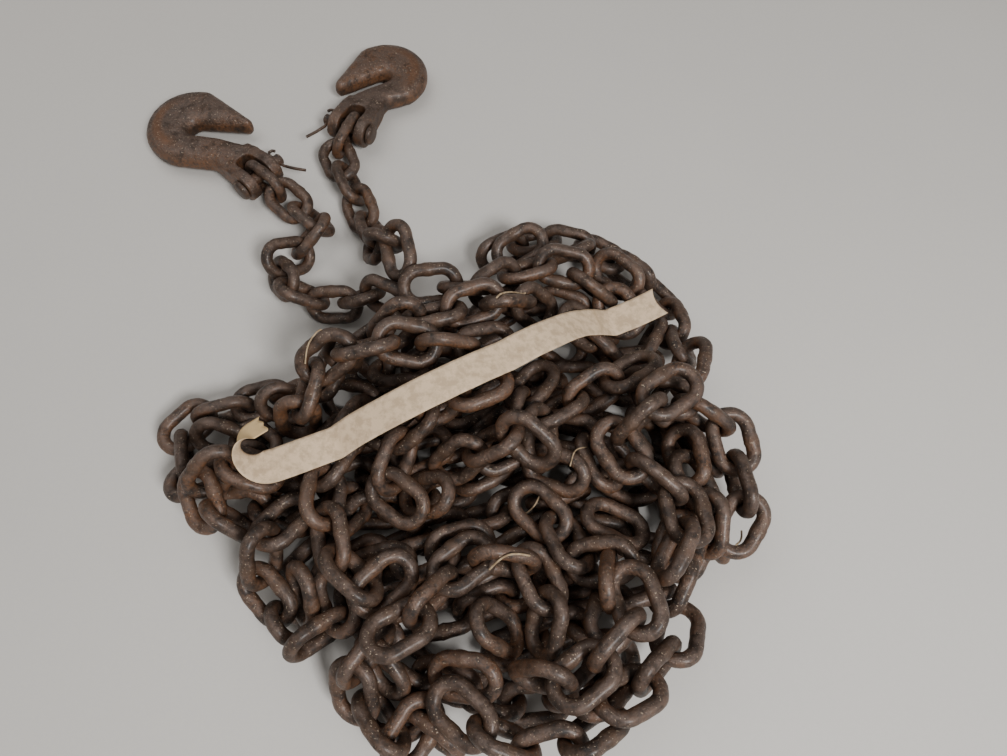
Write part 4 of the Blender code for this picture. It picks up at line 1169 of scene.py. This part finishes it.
def tape_strip(look, rods, material):
    """The strip of crepe paper tape, thin, torn at its ends and rolled over on itself at the left."""
    line, ahead, beside, heights, travelled, curled = tape_course(look, rods)
    across = np.linspace(-0.5, 0.5, TAPE_COLUMNS)
    rolled = look.tape_roll * curled * curled * (3 - 2 * curled)
    top, under, creases = [], [], []
    for i, (spot, side, height) in enumerate(zip(line, beside, heights)):
        lean = rolled[i]
        width = TAPE_WIDTH * (1 - TAPE_CURL_NARROWING * curled[i])
        out = Vector((*(side * math.cos(lean)), math.sin(lean)))
        forward = Vector((*ahead[i], 0.0))
        up = forward.cross(out)
        lift = height + TAPE_THICKNESS + math.sin(lean) * width / 2
        lift += look.tape_flare * max(0.0, 1 - travelled[i] / TAPE_FLARE_LENGTH) ** 2
        cut_in = TAPE_CUT_DEPTH * max(0.0, 1 - travelled[i] / TAPE_CUT_LENGTH)
        torn = TAPE_TEAR_DEPTH * max(0.0, 1 - (travelled[-1] - travelled[i]) / TAPE_TEAR_LENGTH)
        for u in across:
            place = Vector((travelled[i] / 0.03, u * 1.3, 0.0))
            ragged = noise.noise(Vector((u * 2.1, 3.0, 1.0)))
            edge = 1 + 0.012 * noise.noise(Vector((travelled[i] / 0.004, u, 5.0)))
            wave = look.tape_wave * (noise.noise(place) + 0.4 * noise.noise(3.1 * place))
            slide = cut_in * (1 - 4 * u * u) + torn * ragged
            middle = Vector((spot[0] + SHIFT[0], spot[1] + SHIFT[1], lift + max(wave, 0.0)))
            middle += out * (width * u * edge) + forward * slide
            top.append(middle + up * look.tape_thickness / 2)
            under.append(middle - up * look.tape_thickness / 2)
            off_crease = abs(travelled[i] - look.crease_at - TAPE_CREASE_SLANT * u * TAPE_WIDTH)
            creases.append(max(0.0, 1 - off_crease / TAPE_CREASE_WIDTH))
    count = len(top)
    wide = len(across)
    faces = []
    for i in range(len(line) - 1):
        for j in range(wide - 1):
            a, b = i * wide + j, (i + 1) * wide + j
            faces.append((a, b, b + 1, a + 1))
            faces.append((count + a, count + a + 1, count + b + 1, count + b))
        a, b = i * wide, (i + 1) * wide
        faces.append((a, count + a, count + b, b))
        a, b = a + wide - 1, b + wide - 1
        faces.append((a, b, count + b, count + a))
    for row, turn in ((0, 1), (len(line) - 1, -1)):
        for j in range(wide - 1):
            a = row * wide + j
            faces.append((a, a + 1, count + a + 1, count + a)[::turn])
    sticky = [0.0] * count + [1.0] * count
    piece = new_piece("paper_tape", top + under, faces, material, {"crease": creases * 2, "sticky": sticky})
    return piece, float(travelled[-1])


def straw_piece(name, start, end, bend, radius, rods, material):
    """A dry stalk that lies over the rods below it."""
    start, end = np.array(start, float) * MM, np.array(end, float) * MM
    ahead = end - start
    side = np.array([-ahead[1], ahead[0]]) * bend
    steps = STRAW_STEPS
    spots = [start + ahead * i / steps + side * math.sin(math.pi * i / steps) for i in range(steps + 1)]
    heights = np.array([surface_height(x, y, rods) for x, y in spots])
    reach = np.linalg.norm(ahead) / steps
    fall = STRAW_STEEPEST * reach
    lie = np.array([max(h - fall * abs(i - k) for k, h in enumerate(heights)) for i in range(steps + 1)])
    curve = bpy.data.curves.new(name, "CURVE")
    curve.dimensions = "3D"
    curve.bevel_depth = radius
    curve.bevel_resolution = 2
    curve.use_fill_caps = True
    spline = curve.splines.new("POLY")
    spline.points.add(steps)
    for spot, (x, y), z in zip(spline.points, spots, lie):
        spot.co = (x + SHIFT[0], y + SHIFT[1], z + radius, 1.0)
    curve.materials.append(material)
    piece = bpy.data.objects.new(name, curve)
    bpy.context.scene.collection.objects.link(piece)
    return piece


def color_property(label, default):
    return FloatVectorProperty(name=label, description=f"{label} colour", subtype="COLOR", size=3, min=0.0,
                               max=1.0, default=default)


def length_property(label, description, default):
    return FloatProperty(name=label, description=description, default=default, unit="LENGTH", precision=5)


class ChainLook(bpy.types.PropertyGroup):
    """Finish of the chain."""
    # Dark steel is also the colour of the painted shade in the deep hollows.
    dark: color_property("Dark steel", (0.014, 0.008, 0.005))
    brown: color_property("Brown steel", (0.056, 0.029, 0.016))
    warm: color_property("Warm brown", (0.112, 0.058, 0.030))
    rust: color_property("Rust", (0.170, 0.072, 0.028))
    hollow_rust: color_property("Rust in hollows", (0.120, 0.048, 0.018))
    # This pale grey-brown is also the colour of the painted highlight on the upward faces.
    wear_and_highlight: color_property("Worn steel", (0.150, 0.112, 0.094))
    # This pale tan is also the colour of the painted glints on the upward faces.
    dust_and_glint: color_property("Dust", (0.420, 0.330, 0.240))
    weld_length: length_property("Weld band", "Length of the weld band on one leg of a link", 0.007)
    weld_height: length_property("Weld height", "How far the weld stands out of the rod", 0.0007)
    relief: length_property("Relief", "Depth of the forged surface's dents", 0.00030)
    relief_size: length_property("Relief size", "Distance between the dents", 0.0045)


class HookLook(bpy.types.PropertyGroup):
    """Shape and finish of the forged hooks."""
    skin_size: length_property("Skin size", "Size of the remeshed skin's faces", 0.0011)
    soften: IntProperty(name="Softening", description="How often the edges are smoothed", default=12, min=0)
    round_width: length_property("Rounding", "How far in from its edges the forging is rounded", 0.0120)
    edge_height: FloatProperty(name="Edge height", description="Share of the thickness left at the edges",
                               default=0.40, min=0.0, max=1.0)
    wall_facing: FloatProperty(name="Wall", description="A face this upright or more counts as an edge",
                               default=0.35, min=0.0, max=1.0)
    ears_end: length_property("Ears' end", "Where the rounding begins, from the pin", 0.020)
    band_height: length_property("Band", "How far the band round the bowl stands up", 0.0008)
    relief: length_property("Relief", "Depth of the forged surface's dents", 0.00025)
    relief_size: length_property("Relief size", "Distance between the dents", 0.006)


class TapeLook(bpy.types.PropertyGroup):
    """Shape and finish of the tape."""
    paper: color_property("Paper", (0.68, 0.51, 0.34))
    paper_shade: color_property("Paper in the shade", (0.50, 0.37, 0.24))
    paper_tan: color_property("Tan crease", (0.34, 0.22, 0.11))
    paper_glue: color_property("Sticky side", (0.70, 0.49, 0.24))
    tape_step: length_property("Step", "Distance between cross rows of the strip", 0.003)
    tape_thickness: length_property("Thickness", "Thickness of the paper", 0.0004)
    tape_wave: length_property("Wave", "How far the paper waves between its supports", 0.0005)
    crease_at: length_property("Crease", "Distance of the tan crease from the right end", 0.055)
    tape_flare: length_property("Flare", "How far the right end stands up", 0.005)
    tape_roll: FloatProperty(name="Roll", description="How far the left end is rolled over", subtype="ANGLE",
                             default=math.radians(150))


class LitterLook(bpy.types.PropertyGroup):
    """Dry bits caught in the chain."""
    straw: color_property("Straw", (0.50, 0.38, 0.24))
    straw_dark: color_property("Dark straw", (0.24, 0.16, 0.09))


class StageLook(bpy.types.PropertyGroup):
    """Floor, light and camera."""
    floor: color_property("Floor", (0.60, 0.575, 0.54))
    key_power: FloatProperty(name="Key light", description="Power of the key light", default=30.0,
                             unit="POWER")
    fill_power: FloatProperty(name="Fill light", description="Power of the fill light", default=12.0,
                              unit="POWER")
    sky: FloatProperty(name="Sky", description="Strength of the light from all round", default=0.26, min=0.0)


class CHAINHEAP_OT_runs(bpy.types.Operator):
    """Lay the runs of chain that the heap shows, each in place of its solid"""
    bl_idname = "chain_heap.runs"
    bl_label = "Lay the heap's runs"

    def execute(self, context):
        look = context.scene.chain_look
        steel = rusty_steel("old_chain_steel", look)
        surfaces = [link_surface(variant, look) for variant in range(4)]
        names = [name for name, _, _ in FLOOR_RUNS + TOP_RUNS]
        for seed, name in enumerate(names):
            piece = chain_piece(name.replace("run_", "chain_"), RUNS[name], surfaces, steel, seed)
            add_declared(piece, "heap", "rusty_steel", name)
        for seed, side in enumerate(FREE_LINKS):
            links = RUNS[f"{side}_end"][FREE_LINKS[side]:]
            piece = chain_piece(f"chain_{side}_end", links, surfaces, steel, 40 + seed)
            add_declared(piece, "heap", "rusty_steel", f"run_{side}_end")
        return {"FINISHED"}


class CHAINHEAP_OT_free_links(bpy.types.Operator):
    """Lay the free links between the heap and the hooks"""
    bl_idname = "chain_heap.free_links"
    bl_label = "Lay the free links"

    def execute(self, context):
        look = context.scene.chain_look
        steel = bpy.data.materials["old_chain_steel"]
        surfaces = [link_surface(variant, look) for variant in range(4)]
        on_pin = [link_surface(variant, look, radius=ROD / 2) for variant in range(4)]
        for side, count in FREE_LINKS.items():
            for number in range(count):
                name = f"{side}_link_{number + 1:02d}"
                links = RUNS[f"{side}_end"][number:number + 1]
                shapes = surfaces if number else on_pin
                piece = chain_piece(f"round_{name}", links, shapes, steel, 3 * number + len(side))
                add_declared(piece, "heap", "rusty_steel", name)
        return {"FINISHED"}


class CHAINHEAP_OT_hidden_chain(bpy.types.Operator):
    """Lay the links inside the heap in place of the core"""
    bl_idname = "chain_heap.hidden_chain"
    bl_label = "Lay the hidden links"

    def execute(self, context):
        look = context.scene.chain_look
        steel = bpy.data.materials["old_chain_steel"]
        surfaces = [link_surface(variant, look) for variant in range(2)]
        for seed, links in enumerate(HIDDEN):
            piece = chain_piece(f"hidden_chain_{seed + 1}", links, surfaces, steel, 60 + seed)
            add_declared(piece, "heap", "rusty_steel", *(["heap_core"] if seed == 0 else []))
        return {"FINISHED"}


class CHAINHEAP_OT_wedged_links(bpy.types.Operator):
    """Hang links in the hollows between the runs, where the heap is full of chain"""
    bl_idname = "chain_heap.wedged_links"
    bl_label = "Fill the hollows with links"

    def execute(self, context):
        look = context.scene.chain_look
        steel = bpy.data.materials["old_chain_steel"]
        surfaces = [link_surface(variant, look) for variant in range(3)]
        outline, _ = round_outline()
        laid = np.vstack([*RUNS.values(), *HIDDEN])
        barrier = tape_barrier(context.scene.tape_look, visible_rods())
        rods = np.vstack([rod_points(laid, outline).reshape(-1, 3), barrier])
        for number, (spot, heading, count) in enumerate(WEDGED_STARTS, 1):
            links = wedge_links(spot, heading, count, rods, outline)
            if len(links) == 0:
                continue
            rods = np.vstack([rods, rod_points(links, outline).reshape(-1, 3)])
            piece = chain_piece(f"wedged_links_{number}", links, surfaces, steel, 80 + number)
            add_declared(piece, "heap", "rusty_steel")
        return {"FINISHED"}


class CHAINHEAP_OT_hooks(bpy.types.Operator):
    """Forge both grab hooks"""
    bl_idname = "chain_heap.hooks"
    bl_label = "Forge the hooks"

    def execute(self, context):
        steel = rusty_steel("old_hook_steel", context.scene.chain_look, redness=0.02, dark_at=0.28)
        for side in HOOKS:
            piece = smooth_forging(side, context.scene.hook_look, steel)
            add_declared(piece, f"{side}_hook", "rusty_hook_steel", f"hook_{side}")
        return {"FINISHED"}


class CHAINHEAP_OT_pins(bpy.types.Operator):
    """Turn the clevis pins and bend their cotters"""
    bl_idname = "chain_heap.pins"
    bl_label = "Make the pins and cotters"

    def execute(self, context):
        steel = rusty_steel("old_pin_steel", context.scene.chain_look, redness=-0.05)
        for side in HOOKS:
            add_declared(turned_pin(side, steel), "heap", "pin_steel", f"clevis_pin_{side}")
            add_declared(cotter_wire(side, steel), "heap", "pin_steel", f"cotter_{side}")
        return {"FINISHED"}


class CHAINHEAP_OT_tape(bpy.types.Operator):
    """Lay the strip of tape across the heap"""
    bl_idname = "chain_heap.tape"
    bl_label = "Lay the tape"

    def execute(self, context):
        look = context.scene.tape_look
        piece, length = tape_strip(look, visible_rods(), tape_paper(look))
        add_declared(piece, "heap", "masking_tape", "tape_strip")
        return {"FINISHED"}


class CHAINHEAP_OT_litter(bpy.types.Operator):
    """Drop the dry straws into the chain"""
    bl_idname = "chain_heap.litter"
    bl_label = "Drop the straws"

    def execute(self, context):
        straw = straw_fibre(context.scene.litter_look)
        rods = visible_rods()
        for number, (start, end, bend, radius) in enumerate(STRAWS, 1):
            piece = straw_piece(f"straw_{number}", start, end, bend, radius, rods, straw)
            add_declared(piece, "heap", "rusty_steel")
        return {"FINISHED"}


class CHAINHEAP_OT_stage(bpy.types.Operator):
    """Set up the floor, the light and the camera"""
    bl_idname = "chain_heap.stage"
    bl_label = "Set up the stage"

    def execute(self, context):
        look = context.scene.stage_look
        corners = ((-1, -1), (1, -1), (1, 1), (-1, 1))
        points = [(FLOOR_REACH * x, FLOOR_REACH * y, -FLOOR_DROP) for x, y in corners]
        floor = new_piece("floor", points, [(0, 1, 2, 3)], floor_paint(look))
        lights = (("key", (0.65, -0.95, 1.35), 0.45, look.key_power),
                  ("fill", (-0.7, 0.6, 1.7), 1.6, look.fill_power))
        for name, place, size, power in lights:
            light = bpy.data.lights.new(f"{name}_light", "AREA")
            light.size = size
            light.energy = power
            lamp = bpy.data.objects.new(light.name, light)
            lamp.location = place
            lamp.rotation_euler = (-Vector(place)).to_track_quat("-Z", "Y").to_euler()
            context.scene.collection.objects.link(lamp)
        world = bpy.data.worlds.new("soft_sky")
        world.use_nodes = True
        world.node_tree.nodes["Background"].inputs["Strength"].default_value = look.sky
        world.node_tree.nodes["Background"].inputs["Color"].default_value = SKY_COLOR
        context.scene.world = world
        camera = bpy.data.cameras.new("photo_camera")
        camera.sensor_width = 36.0
        camera.lens = FOCAL_PIXELS / PHOTO_WIDTH * camera.sensor_width
        camera.shift_x = 0.5 - AXIS_PIXEL / PHOTO_WIDTH
        camera.clip_start = 0.01
        viewer = bpy.data.objects.new(camera.name, camera)
        viewer.location = (SHIFT[0], SHIFT[1], CAMERA_HEIGHT)
        viewer.rotation_euler = (CAMERA_LEAN, 0.0, 0.0)
        context.scene.collection.objects.link(viewer)
        context.scene.camera = viewer
        return {"FINISHED"}


LOOKS = {"chain_look": ChainLook, "hook_look": HookLook, "tape_look": TapeLook, "litter_look": LitterLook,
         "stage_look": StageLook}
OPERATORS = (CHAINHEAP_OT_runs, CHAINHEAP_OT_free_links, CHAINHEAP_OT_hidden_chain,
             CHAINHEAP_OT_wedged_links, CHAINHEAP_OT_hooks, CHAINHEAP_OT_pins, CHAINHEAP_OT_tape,
             CHAINHEAP_OT_litter, CHAINHEAP_OT_stage)


class CHAINHEAP_PT_panel(bpy.types.Panel):
    """Sizes, colours and steps of the chain heap"""
    bl_label = "Chain heap"
    bl_idname = "CHAINHEAP_PT_panel"
    bl_space_type = "VIEW_3D"
    bl_region_type = "UI"
    bl_category = "Chain heap"

    def draw(self, context):
        for attribute, group in LOOKS.items():
            box = self.layout.box()
            box.label(text=group.__doc__)
            for name in group.__annotations__:
                box.prop(getattr(context.scene, attribute), name)
        for operator in OPERATORS:
            self.layout.operator(operator.bl_idname)


def register():
    for group in (*LOOKS.values(), *OPERATORS, CHAINHEAP_PT_panel):
        bpy.utils.register_class(group)
    for attribute, group in LOOKS.items():
        setattr(bpy.types.Scene, attribute, PointerProperty(type=group))


def unregister():
    for attribute in LOOKS:
        delattr(bpy.types.Scene, attribute)
    for group in (CHAINHEAP_PT_panel, *reversed(OPERATORS), *reversed(tuple(LOOKS.values()))):
        bpy.utils.unregister_class(group)


def main():
    register()
    bpy.ops.chain_heap.runs()
    bpy.ops.chain_heap.free_links()
    bpy.ops.chain_heap.hidden_chain()
    bpy.ops.chain_heap.wedged_links()
    bpy.ops.chain_heap.hooks()
    bpy.ops.chain_heap.pins()
    bpy.ops.chain_heap.tape()
    bpy.ops.chain_heap.litter()
    bpy.ops.chain_heap.stage()


if __name__ == "__main__":
    main()
